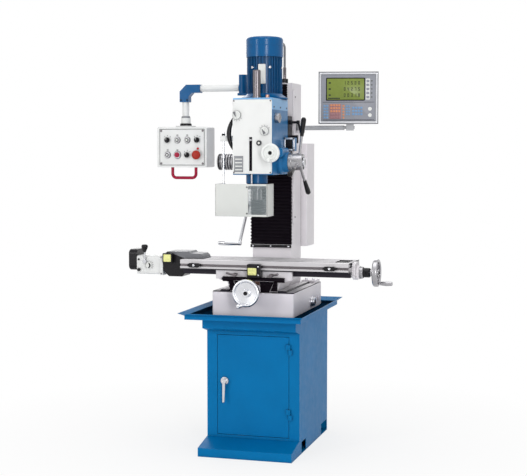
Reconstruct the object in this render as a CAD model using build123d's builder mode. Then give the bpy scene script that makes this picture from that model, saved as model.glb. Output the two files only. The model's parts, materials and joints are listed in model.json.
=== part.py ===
"""Mill drill on a cabinet stand, built as separate pieces in one frame.

Millimetres. X runs to the right, Y to the back and Z up. The origin is
the middle of the stand's footprint on the floor.
"""
import os
from math import cos, pi, radians, sin

from build123d import *

# Fits and clearances
run_fit = 0.05
way_fit = 0.05
pass_gap = 0.3
door_gap = 2.0
clear_gap = 2.0

# Stand and tray
stand_w = 444.0
stand_d = 700.0
stand_h = 634.0
stand_sheet = 3.0
stand_face_y = -209.0
toe_h = 40.0
toe_rise = 27.0
lip_depth = 70.0
lip_h = 52.0
lip_drop = 19.0
door_w = 346.0
door_h = 470.0
door_low_z = 77.0
door_depth = 15.0
hinge_d = 10.0
hinge_pin_d = 6.0
hinge_len = 24.0
hinge_rise = (110.0, 411.0)
door_handle_z = 331.0
door_handle_reach = 100.0
notch_h = 55.0
notch_front = (-168.0, -83.0)
notch_back = (222.0, 341.0)
anchor_d = 14.0
anchor_x = 380.0
anchor_y = (-125.0, 282.0)
tray_sheet = 3.0
tray_foot_w = 542.0
tray_foot_d = 738.0
tray_flare_x = 19.0
tray_flare_y = 44.0
tray_h = 33.0
tray_wall_h = 18.0
tray_y = -16.0

# Base, saddle and table
base_w = 390.0
base_y = (-216.0, 330.0)
base_h = 108.0
base_wall = 18.0
base_dove_neck = 74.0
base_dove_wide = 96.0
rail_x = (118.0, 154.0, 160.0, 195.0)
rail_h = (12.0, 5.0)
seat_y = (232.0, 330.0)
seat_h = 18.0
base_dove_h = 52.0
base_dove_y = (-186.0, 100.0)
screw_d = 20.0
journal_d = 16.0
screw_lift = 10.0
bracket_t = 24.0
bracket_w = 76.0
wheel_rim = 13.0
y_wheel_d = 126.0
y_wheel_t = 24.0
y_wheel_gap = 66.0
dial_d = 56.0
saddle_w = 364.0
saddle_y = (-196.0, -2.0)
saddle_slab = 20.0
saddle_skirt_x = 114.0
saddle_dove_neck = 45.0
saddle_dove_wide = 60.0
saddle_dove_h = 26.0
cover_half = 148.0
cover_ribs = 3
channel_half = 26.0
nut_w = 32.0
nut_len = 44.0
table_x = (-351.5, 448.5)
table_d = 240.0
table_slab = 44.0
table_web_half = 78.0
slot_w = 14.0
slot_neck_h = 12.0
slot_foot_w = 24.0
slot_foot_h = 10.0
slot_pitch = 63.0
pocket_h = 8.0
dog_len = 66.0
dog_h = 20.0
dog_point = 12.0
table_bevel = 5.0
x_wheel_d = 126.0
x_wheel_t = 24.0
x_wheel_gap = 65.0
x_bracket_t = 28.0
handle_len = 62.0
handle_d = 22.0

# Power feed
adaptor_len = 109.5
feed_plate_t = 16.0
feed_len = 117.0
feed_cap_len = 45.0
feed_d = 110.0

# Column
column_w = 190.0
column_y = (136.0, 306.0)
column_h = 975.0
column_wall = 24.0
column_foot_h = 192.0
electrics_w = 256.0
electrics_d = 149.0
electrics_h = 507.0
column_face_y = 112.0
column_dove_neck = 55.0
column_dove_wide = 70.0
column_slot = 60.0
z_screw_y = 175.0
z_screw_d = 30.0
crank_rise = 397.0
crank_arm_z = 196.0
crank_arm_y = 60.0
crank_grip_len = 108.0
crank_shaft_d = 18.0
bevel_near = 18.0
bevel_far = 32.0
bellows_pleats = 22
bellows_w = 204.0

# Head
head_rise = 685.0
head_w = 189.0
head_front_y = -214.0
head_back_y = 60.0
head_down = 144.0
head_up = 153.0
cover_h = 53.0
slide_down = 130.0
slide_up = 130.0
spigot_d = 60.0
spindle_y = -142.0
quill_d = 75.0
quill_below = 210.0
quill_above = 50.0
boss_d = 100.0
boss_h = 43.0
ring_h = 22.5
ring_d = 105.0
spindle_d = 36.0
nose_d = 48.0
nose_h = 51.0
taper_d = 31.75
module = 2.0
pinion_teeth = 18
pinion_drop = 86.0
pinion_w = 20.0
shaft_d = 22.0
drum_d = 76.0
drum_len = 106.0
drum_grooves = 7
groove_w = 5.0
groove_deep = 3.0
hub_d = 82.0
hub_len = 67.0
lever_reach = 212.0
lever_angles = (-45.0, 75.0, 195.0)
lever_d = 12.0
grip_d = 24.0
grip_len = 90.0
worm_w = 47.5
fine_wheel_d = 86.0
knob_d = 38.0
plate_t = 6.0
motor_y = -12.0
motor_d = 165.0
motor_flange_d = 220.0
motor_flange_h = 26.0
motor_body_h = 178.0
cowl_d = 174.0
cowl_h = 85.0
fin_count = 36
fin_depth = 8.0
rotor_d = 90.0
rotor_shaft_d = 24.0
drawbar_cap_d = 35.0
drawbar_cap_h = 130.0

# Pendant and display
pivot_x = -165.0
pivot_y = 180.0
pivot_d = 41.0
pivot_pin_d = 20.0
pendant_reach = 296.0
pendant_drop = 183.0
pendant_tube_d = 32.0
pendant_w = 258.0
pendant_d = 120.0
pendant_h = 198.0
pendant_sheet = 3.0
knob_stem_d = 10.0
selector_d = 26.0
button_d = 20.0
stop_push_d = 26.0
stop_d = 44.0
stop_stem_d = 16.0
control_pitch = 51.4
control_row = 73.0
display_w = 284.0
display_h = 247.0
display_d = 65.0
display_turn = 12.0
display_reach = 239.0

# Levels and positions that follow from the sizes above
tray_floor_z = stand_h + tray_sheet
way_z = tray_floor_z + base_h
base_dove_z = way_z + base_dove_h
saddle_z = base_dove_z + 3.0
saddle_top_z = saddle_z + saddle_slab
table_under_z = saddle_top_z + saddle_dove_h
table_z = table_under_z + table_slab
y_screw_z = way_z + screw_lift
x_screw_z = table_under_z - screw_lift / 2
table_y = (saddle_y[0] + saddle_y[1]) / 2 + clear_gap + 1.0
column_z = way_z + column_h
crank_z = way_z + crank_rise
head_z = way_z + head_rise
head_low_z = head_z - head_down
head_top_z = head_z + head_up
cover_top_z = head_top_z + cover_h
quill_z = (head_z - quill_below, head_z + quill_above)
pinion_z = head_z - pinion_drop
pitch_r = module * pinion_teeth / 2
rack_y = spindle_y + quill_d / 2 - 2 * module
pinion_y = rack_y + pitch_r
half_head = head_w / 2
half_column = column_w / 2
hub_x = half_head + worm_w
hinge_x = door_w / 2 + 2.0
hinge_y = stand_face_y - 6.0
hinge_z = [door_low_z + rise for rise in hinge_rise]
door_handle_x = -door_w / 2 + 38.0
motor_low_z = cover_top_z
cowl_low_z = motor_low_z + motor_flange_h + motor_body_h
pendant_x = pivot_x - pendant_reach
pendant_tube_z = column_z - 18.0
pendant_top_z = pendant_tube_z - pendant_drop
pendant_low_z = pendant_top_z - 6.0 - pendant_h
pendant_face_y = pivot_y - pendant_d / 2
display_arm_z = head_z + 79.0
display_pivot = (half_column + 22.0, 200.0)

TURN = {"X": (0, 90, 0), "Y": (-90, 0, 0), "Z": (0, 0, 0)}
ALONG = {"X": Vector(1, 0, 0), "Y": Vector(0, 1, 0), "Z": Vector(0, 0, 1)}
ACROSS = {"X": Vector(0, 1, 0), "Y": Vector(1, 0, 0), "Z": Vector(1, 0, 0)}


def spot(axis, a, b, along):
    """Point at (a, b) across an axis and at a place along it."""
    return {"X": (along, a, b), "Y": (a, along, b), "Z": (a, b, along)}[axis]


def block(x, y, z, mode=Mode.ADD):
    """Block that fills three spans."""
    with Locations((sum(x) / 2, sum(y) / 2, sum(z) / 2)):
        Box(x[1] - x[0], y[1] - y[0], z[1] - z[0], mode=mode)


def rod(axis, a, b, span, d, mode=Mode.ADD):
    """Round bar along an axis over a span."""
    with Locations(spot(axis, a, b, sum(span) / 2)):
        Cylinder(d / 2, span[1] - span[0], rotation=TURN[axis], mode=mode)


def taper(axis, a, b, span, d_low, d_high, mode=Mode.ADD):
    """Cone along an axis over a span."""
    with Locations(spot(axis, a, b, sum(span) / 2)):
        Cone(d_low / 2, d_high / 2, span[1] - span[0], rotation=TURN[axis], mode=mode)


def bar(start, end, d, mode=Mode.ADD):
    """Round bar between two points."""
    run = Vector(*end) - Vector(*start)
    with BuildSketch(Plane(origin=start, z_dir=run)) as ring:
        Circle(d / 2)
    extrude(ring.sketch, amount=run.length, mode=mode)


def prism(plane, points, amount, mode=Mode.ADD):
    """Straight-sided outline pushed out of a plane."""
    with BuildSketch(plane) as outline:
        with BuildLine():
            Polyline(*points, close=True)
        make_face()
    extrude(outline.sketch, amount=amount, mode=mode)


def rounded(plane, mid, size, radius, amount, mode=Mode.ADD):
    """Rectangle with round corners pushed out of a plane."""
    with BuildSketch(plane) as outline:
        with Locations(mid):
            RectangleRounded(size[0], size[1], radius)
    extrude(outline.sketch, amount=amount, mode=mode)


def flare(mid, neck, wide, low, high, fit=0.0):
    """Corners of a dovetail that is narrow at low and wide at high."""
    return [
        (mid - neck - fit, low),
        (mid + neck + fit, low),
        (mid + wide + fit, high),
        (mid - wide - fit, high),
    ]


def half_plane(axis, a, b):
    """Plane through an axis at (a, b), with the radius as its x and the axis as its y."""
    return Plane(origin=spot(axis, a, b, 0), x_dir=ACROSS[axis], z_dir=ACROSS[axis].cross(ALONG[axis]))


def spun(origin, along, outline, mode=Mode.ADD):
    """Turned form about any line, from corners of (radius, distance along it)."""
    line = Axis(origin, along)
    guide = ALONG["Z"] if abs(line.direction.Z) < 0.9 else ALONG["Y"]
    across = guide.cross(line.direction).normalized()
    with BuildSketch(Plane(origin=origin, x_dir=across, z_dir=across.cross(line.direction))) as half:
        with BuildLine():
            Polyline(*outline, close=True)
        make_face()
    revolve(half.sketch, axis=line, mode=mode)


def turned(axis, a, b, outline, mode=Mode.ADD):
    """Turned form about an axis through (a, b), from corners of (radius, place along it)."""
    spun(spot(axis, a, b, 0), ALONG[axis], outline, mode)


def lever(start, end, d_start, d_end):
    """Round lever that tapers between two points and has a rounded end."""
    run = Vector(*end) - Vector(*start)
    tip = run.length
    spun(start, run, [
        (0, 0), (d_start / 2, 0), (d_end / 2, tip - 0.3 * d_end), (0.3 * d_end, tip), (0, tip),
    ])


def wheel(axis, a, b, face, d, rim_t, sign, grip, grip_len=handle_len):
    """Dished handwheel with a round rim and a swelling handle, growing from face along sign."""
    def at(share):
        return face + sign * share * rim_t

    rim_mid = (d - wheel_rim) / 2
    with BuildSketch(half_plane(axis, a, b)) as half:
        with Locations((rim_mid, at(0.5))):
            RectangleRounded(wheel_rim, rim_t, wheel_rim * 0.45)
        with BuildLine():
            Polyline(
                (0, at(0)), (19, at(0)), (rim_mid, at(0.25)), (rim_mid, at(0.55)),
                (19, at(0.4)), (17, at(0.9)), (0, at(0.9)), close=True,
            )
        make_face()
    revolve(half.sketch, axis=Axis(spot(axis, a, b, 0), ALONG[axis]))
    grip_r = handle_d / 2
    root, tip = at(1) + sign * 6, at(1) + sign * grip_len
    turned(axis, grip[0], grip[1], [
        (0, at(0.5)), (0.5 * grip_r, at(0.5)), (0.5 * grip_r, root), (0.75 * grip_r, root),
        (grip_r, 0.5 * (root + tip)), (0.85 * grip_r, tip - sign * 3), (0.6 * grip_r, tip), (0, tip),
    ])


# Cabinet stand with its toe foot, folded from sheet
stand_side = [
    (-stand_d / 2, 0),
    (stand_d / 2, 0),
    (stand_d / 2, stand_h),
    (stand_face_y - lip_depth, stand_h),
    (stand_face_y - lip_depth, stand_h - lip_h),
    (stand_face_y, stand_h - lip_h - lip_drop),
    (stand_face_y, toe_h + toe_rise),
    (-stand_d / 2, toe_h),
]
door_x = (-door_w / 2 + door_gap, door_w / 2 - door_gap)
door_z = (door_low_z + door_gap, door_low_z + door_h - door_gap)
with BuildPart() as cabinet_stand:
    with BuildSketch(Plane.YZ):
        with BuildLine():
            Polyline(*stand_side, close=True)
        make_face()
    extrude(amount=stand_w / 2, both=True)
    with BuildSketch(Plane.YZ):
        with BuildLine():
            Polyline(*stand_side, close=True)
        make_face()
        offset(amount=-stand_sheet, kind=Kind.INTERSECTION, mode=Mode.REPLACE)
    extrude(amount=stand_w / 2 - stand_sheet, both=True, mode=Mode.SUBTRACT)
    block(
        (-door_w / 2, door_w / 2),
        (stand_face_y - 1, stand_face_y + stand_sheet + 1),
        (door_low_z, door_low_z + door_h),
        Mode.SUBTRACT,
    )
    for notch in (notch_front, notch_back):
        block((-stand_w, stand_w), notch, (stand_sheet, notch_h), Mode.SUBTRACT)
    for y in anchor_y:
        with Locations((-anchor_x / 2, y, stand_sheet), (anchor_x / 2, y, stand_sheet)):
            Hole(anchor_d / 2, depth=2 * stand_sheet)
    for z in hinge_z:
        rod("Z", hinge_x, hinge_y, (z - hinge_len, z - 0.5), hinge_d)
        block((hinge_x, hinge_x + 12), (hinge_y - 3, stand_face_y), (z - hinge_len, z - 0.5))
        rod("Z", hinge_x, hinge_y, (z - hinge_len, z + hinge_len - 2), hinge_pin_d)

# Door pan with its hinge leaves and handle boss
with BuildPart() as cabinet_door:
    block(door_x, (stand_face_y, stand_face_y + door_depth), door_z)
    block(
        (door_x[0] + stand_sheet, door_x[1] - stand_sheet),
        (stand_face_y + stand_sheet, stand_face_y + door_depth + 1),
        (door_z[0] + stand_sheet, door_z[1] - stand_sheet),
        Mode.SUBTRACT,
    )
    rod("Y", door_handle_x, door_handle_z, (stand_face_y, stand_face_y + 14), 24)
    for z in hinge_z:
        knuckle = (z + 0.5, z + hinge_len)
        rod("Z", hinge_x, hinge_y, knuckle, hinge_d)
        block((hinge_x - 16, door_x[1]), (hinge_y - 3, stand_face_y), knuckle)
        block((door_x[1], hinge_x), (hinge_y - 3, hinge_y + 4), knuckle)
        rod("Z", hinge_x, hinge_y, knuckle, hinge_pin_d + 2 * run_fit, Mode.SUBTRACT)
    rod(
        "Y", door_handle_x, door_handle_z,
        (stand_face_y - 1, stand_face_y + 15), knob_stem_d + 2 * run_fit, Mode.SUBTRACT,
    )

# Turning door handle with its latch cam behind the door
with BuildPart() as door_handle:
    rod("Y", door_handle_x, door_handle_z, (stand_face_y - 24, stand_face_y + 22), knob_stem_d)
    rod("Y", door_handle_x, door_handle_z, (stand_face_y - 9, stand_face_y - pass_gap), 36)
    rod("Y", door_handle_x, door_handle_z, (stand_face_y - 26, stand_face_y - 9), 22)
    lever(
        (door_handle_x, stand_face_y - 18, door_handle_z),
        (door_handle_x, stand_face_y - 25, door_handle_z - door_handle_reach),
        17, 12,
    )
    block(
        (door_handle_x - 8, door_handle_x + 8),
        (stand_face_y + door_depth + 1, stand_face_y + door_depth + 5),
        (door_handle_z - 52, door_handle_z + 8),
    )

# Chip tray: a pan with upright walls that flare out to the rim
def tray_body(grow, low_z, mode):
    """Fill of the pan, grown or shrunk all round by a sheet's thickness."""
    bend_z = stand_h + tray_wall_h
    with BuildSketch(Plane.XY.offset(low_z)) as foot:
        with Locations((0, tray_y)):
            Rectangle(tray_foot_w + 2 * grow, tray_foot_d + 2 * grow)
    extrude(foot.sketch, amount=bend_z - low_z, mode=mode)
    with BuildSketch(Plane.XY.offset(bend_z)) as bend:
        with Locations((0, tray_y)):
            Rectangle(tray_foot_w + 2 * grow, tray_foot_d + 2 * grow)
    with BuildSketch(Plane.XY.offset(stand_h + tray_h)) as rim:
        with Locations((0, tray_y)):
            Rectangle(tray_foot_w + 2 * (tray_flare_x + grow), tray_foot_d + 2 * (tray_flare_y + grow))
    loft([bend.sketch.face(), rim.sketch.face()], mode=mode)


with BuildPart() as chip_tray:
    tray_body(0, stand_h, Mode.ADD)
    tray_body(-tray_sheet, tray_floor_z, Mode.SUBTRACT)

# Base casting, open underneath, with the cross slide dovetail on top
base_mid_y = sum(base_y) / 2
base_len = base_y[1] - base_y[0]
y_bracket_y = (base_y[0] - bracket_t, base_y[0])
with BuildPart() as base_casting:
    with BuildSketch(Plane.XY.offset(tray_floor_z)):
        with Locations((0, base_mid_y)):
            RectangleRounded(base_w, base_len, 10)
    extrude(amount=base_h)
    with BuildSketch(Plane.XY.offset(tray_floor_z)):
        with Locations((0, base_mid_y)):
            RectangleRounded(base_w - 2 * base_wall, base_len - 2 * base_wall, 8)
    extrude(amount=base_h - 28, mode=Mode.SUBTRACT)
    prism(
        Plane.XZ.offset(-base_dove_y[1]),
        flare(0, base_dove_neck, base_dove_wide, way_z, base_dove_z),
        base_dove_y[1] - base_dove_y[0],
    )
    block(
        (-channel_half, channel_half),
        (base_y[0] - 1, base_dove_y[1] - 25),
        (y_screw_z - screw_d, base_dove_z + 1),
        Mode.SUBTRACT,
    )
    for side in (-1, 1):
        rail = [
            (rail_x[0], -1), (rail_x[0], rail_h[0]), (rail_x[1], rail_h[0]), (rail_x[2], rail_h[1]),
            (rail_x[3] - 3, rail_h[1]), (rail_x[3], rail_h[1] - 3), (rail_x[3], -1),
        ]
        prism(
            Plane.XZ.offset(-base_y[1] + 12), [(side * x, way_z + z) for x, z in rail], base_len - 24,
        )
        block(
            sorted((side * rail_x[0], side * (rail_x[3] - 6))),
            (seat_y[0], seat_y[1] - 14),
            (way_z, way_z + seat_h),
        )
    rounded(Plane.XZ.offset(-y_bracket_y[1]), (0, y_screw_z - 1), (bracket_w, 58), 14, bracket_t)
    rod("Y", 0, y_screw_z, (y_bracket_y[0] - 1, y_bracket_y[1] + 1), journal_d + 2 * run_fit, Mode.SUBTRACT)
    for side in (-1, 1):
        plug_x = sorted((side * base_w / 2, side * (base_w / 2 + 5)))
        rod("X", base_y[1] - 70, tray_floor_z + 40, plug_x, 26)

# Cross lead screw with its thrust collar
y_wheel_y = y_bracket_y[0] - y_wheel_gap
with BuildPart() as y_leadscrew:
    rod("Y", 0, y_screw_z, (base_dove_y[0] - 4, base_dove_y[1] - 30), screw_d)
    rod("Y", 0, y_screw_z, (y_wheel_y - y_wheel_t, base_dove_y[0] - 4), journal_d)
    rod("Y", 0, y_screw_z, (y_bracket_y[1] + pass_gap, y_bracket_y[1] + 10), screw_d + 6)

# Cross handwheel with its graduated dial
with BuildPart() as y_handwheel:
    wheel("Y", 0, y_screw_z, y_wheel_y, y_wheel_d, y_wheel_t, -1, (-17, y_screw_z - 53))
    rod("Y", 0, y_screw_z, (y_wheel_y - 2, y_bracket_y[0] - pass_gap), 34)
    rod("Y", 0, y_screw_z, (y_bracket_y[0] - 24, y_bracket_y[0] - pass_gap), dial_d)
    rod("Y", 0, y_screw_z, (y_wheel_y - y_wheel_t, y_bracket_y[0]), journal_d, Mode.SUBTRACT)

# Saddle with the cross dovetail below and the table dovetail above
saddle_half = saddle_w / 2
table_web_y = (table_y - table_web_half, table_y + table_web_half)
x_channel_y = (table_y - nut_w / 2 - 4, table_y + nut_w / 2 + 4)
lock_x = (-82.0, 92.0)
lock_z = saddle_top_z + 8
with BuildPart() as saddle:
    prism(
        Plane.XZ.offset(-saddle_y[1]),
        [
            (-saddle_half, saddle_top_z),
            (-saddle_half, saddle_z + 6),
            (-saddle_skirt_x - 12, saddle_z - 8),
            (-saddle_skirt_x, way_z + 5),
            (saddle_skirt_x, way_z + 5),
            (saddle_skirt_x + 12, saddle_z - 8),
            (saddle_half, saddle_z + 6),
            (saddle_half, saddle_top_z),
        ],
        saddle_y[1] - saddle_y[0],
    )
    wall_z = (saddle_top_z, table_under_z - clear_gap)
    block((-saddle_half, saddle_half), (saddle_y[0], table_web_y[0] - clear_gap), wall_z)
    block((-saddle_half, saddle_half), (table_web_y[1] + clear_gap, saddle_y[1]), wall_z)
    prism(
        Plane.XZ.offset(-saddle_y[1] - 1),
        flare(0, base_dove_neck, base_dove_wide, way_z, base_dove_z + way_fit, way_fit),
        saddle_y[1] - saddle_y[0] + 2,
        Mode.SUBTRACT,
    )
    prism(
        Plane.YZ.offset(-saddle_half),
        flare(table_y, saddle_dove_neck, saddle_dove_wide, saddle_top_z, table_under_z - way_fit),
        saddle_w,
    )
    block((-saddle_w, saddle_w), x_channel_y, (saddle_top_z + 2, table_under_z + 1), Mode.SUBTRACT)
    for x in lock_x:
        rod("Y", x, lock_z, (saddle_y[0] - 1, saddle_y[0] + 16), knob_stem_d + 2 * run_fit, Mode.SUBTRACT)

# Bronze nuts of the two lead screws, both fixed to the saddle
with BuildPart() as leadscrew_nuts:
    nut_y = (saddle_y[0] + 74, saddle_y[0] + 74 + nut_len)
    block((-nut_w / 2, nut_w / 2), nut_y, (y_screw_z - screw_d + 2, base_dove_z + way_fit))
    rod("Y", 0, y_screw_z, (nut_y[0] - 1, nut_y[1] + 1), screw_d + 2 * run_fit, Mode.SUBTRACT)
    block(
        (-nut_len / 2, nut_len / 2),
        (table_y - nut_w / 2, table_y + nut_w / 2),
        (saddle_top_z + 2, x_screw_z + 15),
    )
    rod("X", table_y, x_screw_z, (-nut_len, nut_len), screw_d + 2 * run_fit, Mode.SUBTRACT)

# Limit switch on the front of the saddle
switch_x = (-19.0, 43.0)
switch_gap_y = table_y - table_d / 2 - 3
with BuildPart() as limit_switch:
    switch_y = (saddle_y[0] - 44, saddle_y[0])
    switch_z = (saddle_top_z - 2, table_z - 10)
    block(switch_x, (switch_gap_y, switch_y[1]), (switch_z[0], table_under_z - clear_gap))
    rounded(
        Plane.XZ.offset(-switch_gap_y),
        (sum(switch_x) / 2, sum(switch_z) / 2),
        (switch_x[1] - switch_x[0], switch_z[1] - switch_z[0]),
        6,
        switch_gap_y - switch_y[0],
    )
    rounded(
        Plane.XZ.offset(-switch_y[0]),
        (sum(switch_x) / 2 - 6, sum(switch_z) / 2 - 3),
        (40, 32),
        3,
        4,
    )

# Rubber way cover on the saddle front, cut to pass over the cross dovetail
with BuildPart() as y_way_cover:
    cover_z = (way_z + 8, saddle_top_z - 4)
    lip_z = saddle_z - 6
    block((-cover_half, cover_half), (saddle_y[0] - 6, saddle_y[0]), (lip_z, cover_z[1]))
    block((-saddle_skirt_x, saddle_skirt_x), (saddle_y[0] - 6, saddle_y[0]), (cover_z[0], lip_z))
    for step in range(cover_ribs):
        half = cover_half if step == 0 else saddle_skirt_x
        z = cover_z[1] - 9 - 17 * step
        rounded(
            Plane.YZ.offset(-half),
            (saddle_y[0] - 14 + 2 * step, z),
            (20 - 4 * step, 12),
            4,
            2 * half,
        )
    prism(
        Plane.XZ.offset(-saddle_y[0] - 1),
        flare(0, base_dove_neck, base_dove_wide, way_z, base_dove_z + 1, clear_gap),
        30,
        Mode.SUBTRACT,
    )

# Table lock levers on the saddle front
lock_lever_y = saddle_y[0] - 40


def table_lock(x, side):
    """Clamp screw with a bent lever that points out to one side."""
    rod("Y", x, lock_z, (lock_lever_y, saddle_y[0] + 15), knob_stem_d)
    rod("Y", x, lock_z, (lock_lever_y - 4, lock_lever_y + 14), 18)
    lever((x, lock_lever_y + 4, lock_z), (x + side * 38, lock_lever_y - 4, lock_z + 9), 8, 10)


with BuildPart() as table_lock_left:
    table_lock(lock_x[0], -1)
with BuildPart() as table_lock_right:
    table_lock(lock_x[1], 1)

# Table with three T-slots, trip dogs on its front edge
table_span_y = (table_y - table_d / 2, table_y + table_d / 2)
table_len = table_x[1] - table_x[0]
with BuildPart() as table:
    prism(
        Plane.YZ.offset(table_x[0]),
        [
            (table_span_y[0], table_under_z + table_bevel),
            (table_span_y[0] + 2 * table_bevel, table_under_z),
            (table_span_y[1] - 2 * table_bevel, table_under_z),
            (table_span_y[1], table_under_z + table_bevel),
            (table_span_y[1], table_z),
            (table_span_y[0], table_z),
        ],
        table_len,
    )
    block(table_x, table_web_y, (saddle_top_z + clear_gap, table_under_z))
    prism(
        Plane.YZ.offset(table_x[0]),
        flare(table_y, saddle_dove_neck, saddle_dove_wide, saddle_top_z, table_under_z, way_fit),
        table_len,
        Mode.SUBTRACT,
    )
    block(table_x, x_channel_y, (table_under_z - 1, x_screw_z + 19), Mode.SUBTRACT)
    for row in (-1, 0, 1):
        y = table_y + row * slot_pitch
        neck_y = (y - slot_w / 2, y + slot_w / 2)
        block(table_x, neck_y, (table_z - slot_neck_h, table_z + 1), Mode.SUBTRACT)
        block(
            table_x,
            (y - slot_foot_w / 2, y + slot_foot_w / 2),
            (table_z - slot_neck_h - slot_foot_h, table_z - slot_neck_h),
            Mode.SUBTRACT,
        )
    block(table_x, (table_span_y[0] - 1, table_span_y[0] + 8), (table_z - 30, table_z - 18), Mode.SUBTRACT)
    pocket_y = (table_y - slot_pitch + slot_w / 2, table_y + slot_pitch - slot_w / 2)
    for pocket_x in ((table_x[0] - 1, table_x[0] + 96), (table_x[1] - 76, table_x[1] - 14)):
        block(pocket_x, pocket_y, (table_z - pocket_h, table_z + 1), Mode.SUBTRACT)
    for left in (table_x[0] + 37, table_x[1] - 118):
        right, dog_z = left + dog_len, table_z - 24
        prism(
            Plane.XZ.offset(-table_span_y[0]),
            [
                (left, dog_z),
                (left + dog_point, dog_z + dog_h / 2),
                (right - dog_point, dog_z + dog_h / 2),
                (right, dog_z),
                (right - dog_point, dog_z - dog_h / 2),
                (left + dog_point, dog_z - dog_h / 2),
            ],
            12,
        )
        block(
            (left + dog_point, right - dog_point),
            (table_span_y[0], table_span_y[0] + 8),
            (dog_z - 6, dog_z + 6),
        )

# Right end bracket that carries the long screw
x_bracket_x = (table_x[1], table_x[1] + x_bracket_t)
with BuildPart() as table_end_bracket:
    bracket_z = (x_screw_z - 25, x_screw_z + 47)
    bracket_size = (92, bracket_z[1] - bracket_z[0])
    rounded(Plane.YZ.offset(x_bracket_x[0]), (table_y, sum(bracket_z) / 2), bracket_size, 18, 16)
    turned("X", table_y, x_screw_z, [
        (0, x_bracket_x[0]), (34, x_bracket_x[0]), (34, x_bracket_x[0] + 18),
        (29, x_bracket_x[1]), (0, x_bracket_x[1]),
    ])
    rod(
        "X", table_y, x_screw_z, (table_x[1] - 1, x_bracket_x[1] + 1),
        journal_d + 2 * run_fit, Mode.SUBTRACT,
    )

# Long lead screw under the table
x_wheel_x = x_bracket_x[1] + x_wheel_gap
with BuildPart() as x_leadscrew:
    rod("X", table_y, x_screw_z, (table_x[0] + 12, table_x[1] - 10), screw_d)
    rod("X", table_y, x_screw_z, (table_x[1] - 10, table_x[1] - pass_gap), screw_d + 6)
    rod("X", table_y, x_screw_z, (table_x[1] - pass_gap, x_wheel_x + x_wheel_t), journal_d)
    rod("X", table_y, x_screw_z, (table_x[0] - adaptor_len + 20, table_x[0] + 12), journal_d)

# Long handwheel with its dial and clutch
with BuildPart() as x_handwheel:
    wheel("X", table_y, x_screw_z, x_wheel_x, x_wheel_d, x_wheel_t, 1, (table_y, x_screw_z - 48))
    rod("X", table_y, x_screw_z, (x_bracket_x[1] + pass_gap, x_wheel_x + 2), 30)
    clutch_x = x_bracket_x[1] + 19
    turned("X", table_y, x_screw_z, [
        (0, x_bracket_x[1] + pass_gap), (dial_d / 2, x_bracket_x[1] + pass_gap), (dial_d / 2, clutch_x - 6),
        (dial_d / 2 - 4, clutch_x), (22, clutch_x), (22, clutch_x + 26),
        (17, clutch_x + 32), (0, clutch_x + 32),
    ])
    with BuildSketch(Plane.YZ.offset(clutch_x + 10)) as claws:
        with Locations((table_y, x_screw_z)):
            with PolarLocations(22, 4):
                Rectangle(10, 9)
    extrude(claws.sketch, amount=8, mode=Mode.SUBTRACT)
    rod("X", table_y, x_screw_z, (x_bracket_x[1], x_wheel_x + x_wheel_t), journal_d, Mode.SUBTRACT)

# Power feed on the left end of the table
adaptor_x = (table_x[0] - adaptor_len, table_x[0])
feed_y = (table_y - feed_d / 2 + 1, table_y + feed_d / 2 + 1)
feed_x = (adaptor_x[0] - feed_plate_t - feed_len, adaptor_x[0] - feed_plate_t)
switch_at = (adaptor_x[0] + 30, table_z + 2)
with BuildPart() as feed_adaptor:
    prism(
        Plane.XZ.offset(-pocket_y[1] + 2),
        [
            (adaptor_x[0], x_screw_z - 10),
            (adaptor_x[0] + 30, x_screw_z - 37),
            (adaptor_x[1] - 14, x_screw_z - 37),
            (adaptor_x[1], x_screw_z - 22),
            (adaptor_x[1], table_z + pass_gap),
            (adaptor_x[1] + 94, table_z + pass_gap),
            (adaptor_x[1] + 88, table_z + 13),
            (adaptor_x[1] + 78, table_z + 23),
            (adaptor_x[1] + 28, table_z + 25),
            (adaptor_x[1] + 20, table_z + 33),
            (adaptor_x[0] + 22, table_z + 31),
            (adaptor_x[0], table_z + 17),
        ],
        pocket_y[1] - pocket_y[0] - 4,
    )
    rounded(Plane.XZ.offset(-pocket_y[0]), switch_at, (48, 46), 6, 22)
    rounded(Plane.XZ.offset(-pocket_y[0] + 22), switch_at, (36, 34), 3, 3)
    rod(
        "X", table_y, x_screw_z, (adaptor_x[0] + 15, adaptor_x[1] + 1),
        journal_d + 2 * run_fit, Mode.SUBTRACT,
    )

feed_lever_at = (feed_x[0] + 43, x_screw_z + 31)
feed_dial_at = (feed_x[0] + 62, x_screw_z + 13)
feed_mid_y = sum(feed_y) / 2
with BuildPart() as feed_housing:
    rounded(
        Plane.YZ.offset(feed_x[1]), (feed_mid_y - 1, x_screw_z + 14), (feed_d + 8, 94), 10, feed_plate_t,
    )
    rounded(Plane.YZ.offset(feed_x[0]), (feed_mid_y, x_screw_z + 14), (feed_d, 88), 12, feed_len)
    for at in (feed_lever_at, feed_dial_at):
        rod("Y", at[0], at[1], (feed_y[0] - 1, feed_y[0] + 20), 8 + 2 * run_fit, Mode.SUBTRACT)

with BuildPart() as feed_motor_cap:
    rounded(
        Plane.YZ.offset(feed_x[0] - feed_cap_len),
        (feed_mid_y, x_screw_z + 37),
        (feed_d - 4, 100),
        22,
        feed_cap_len,
    )
    fillet(faces().sort_by(Axis.X)[0].edges(), 10)

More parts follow.
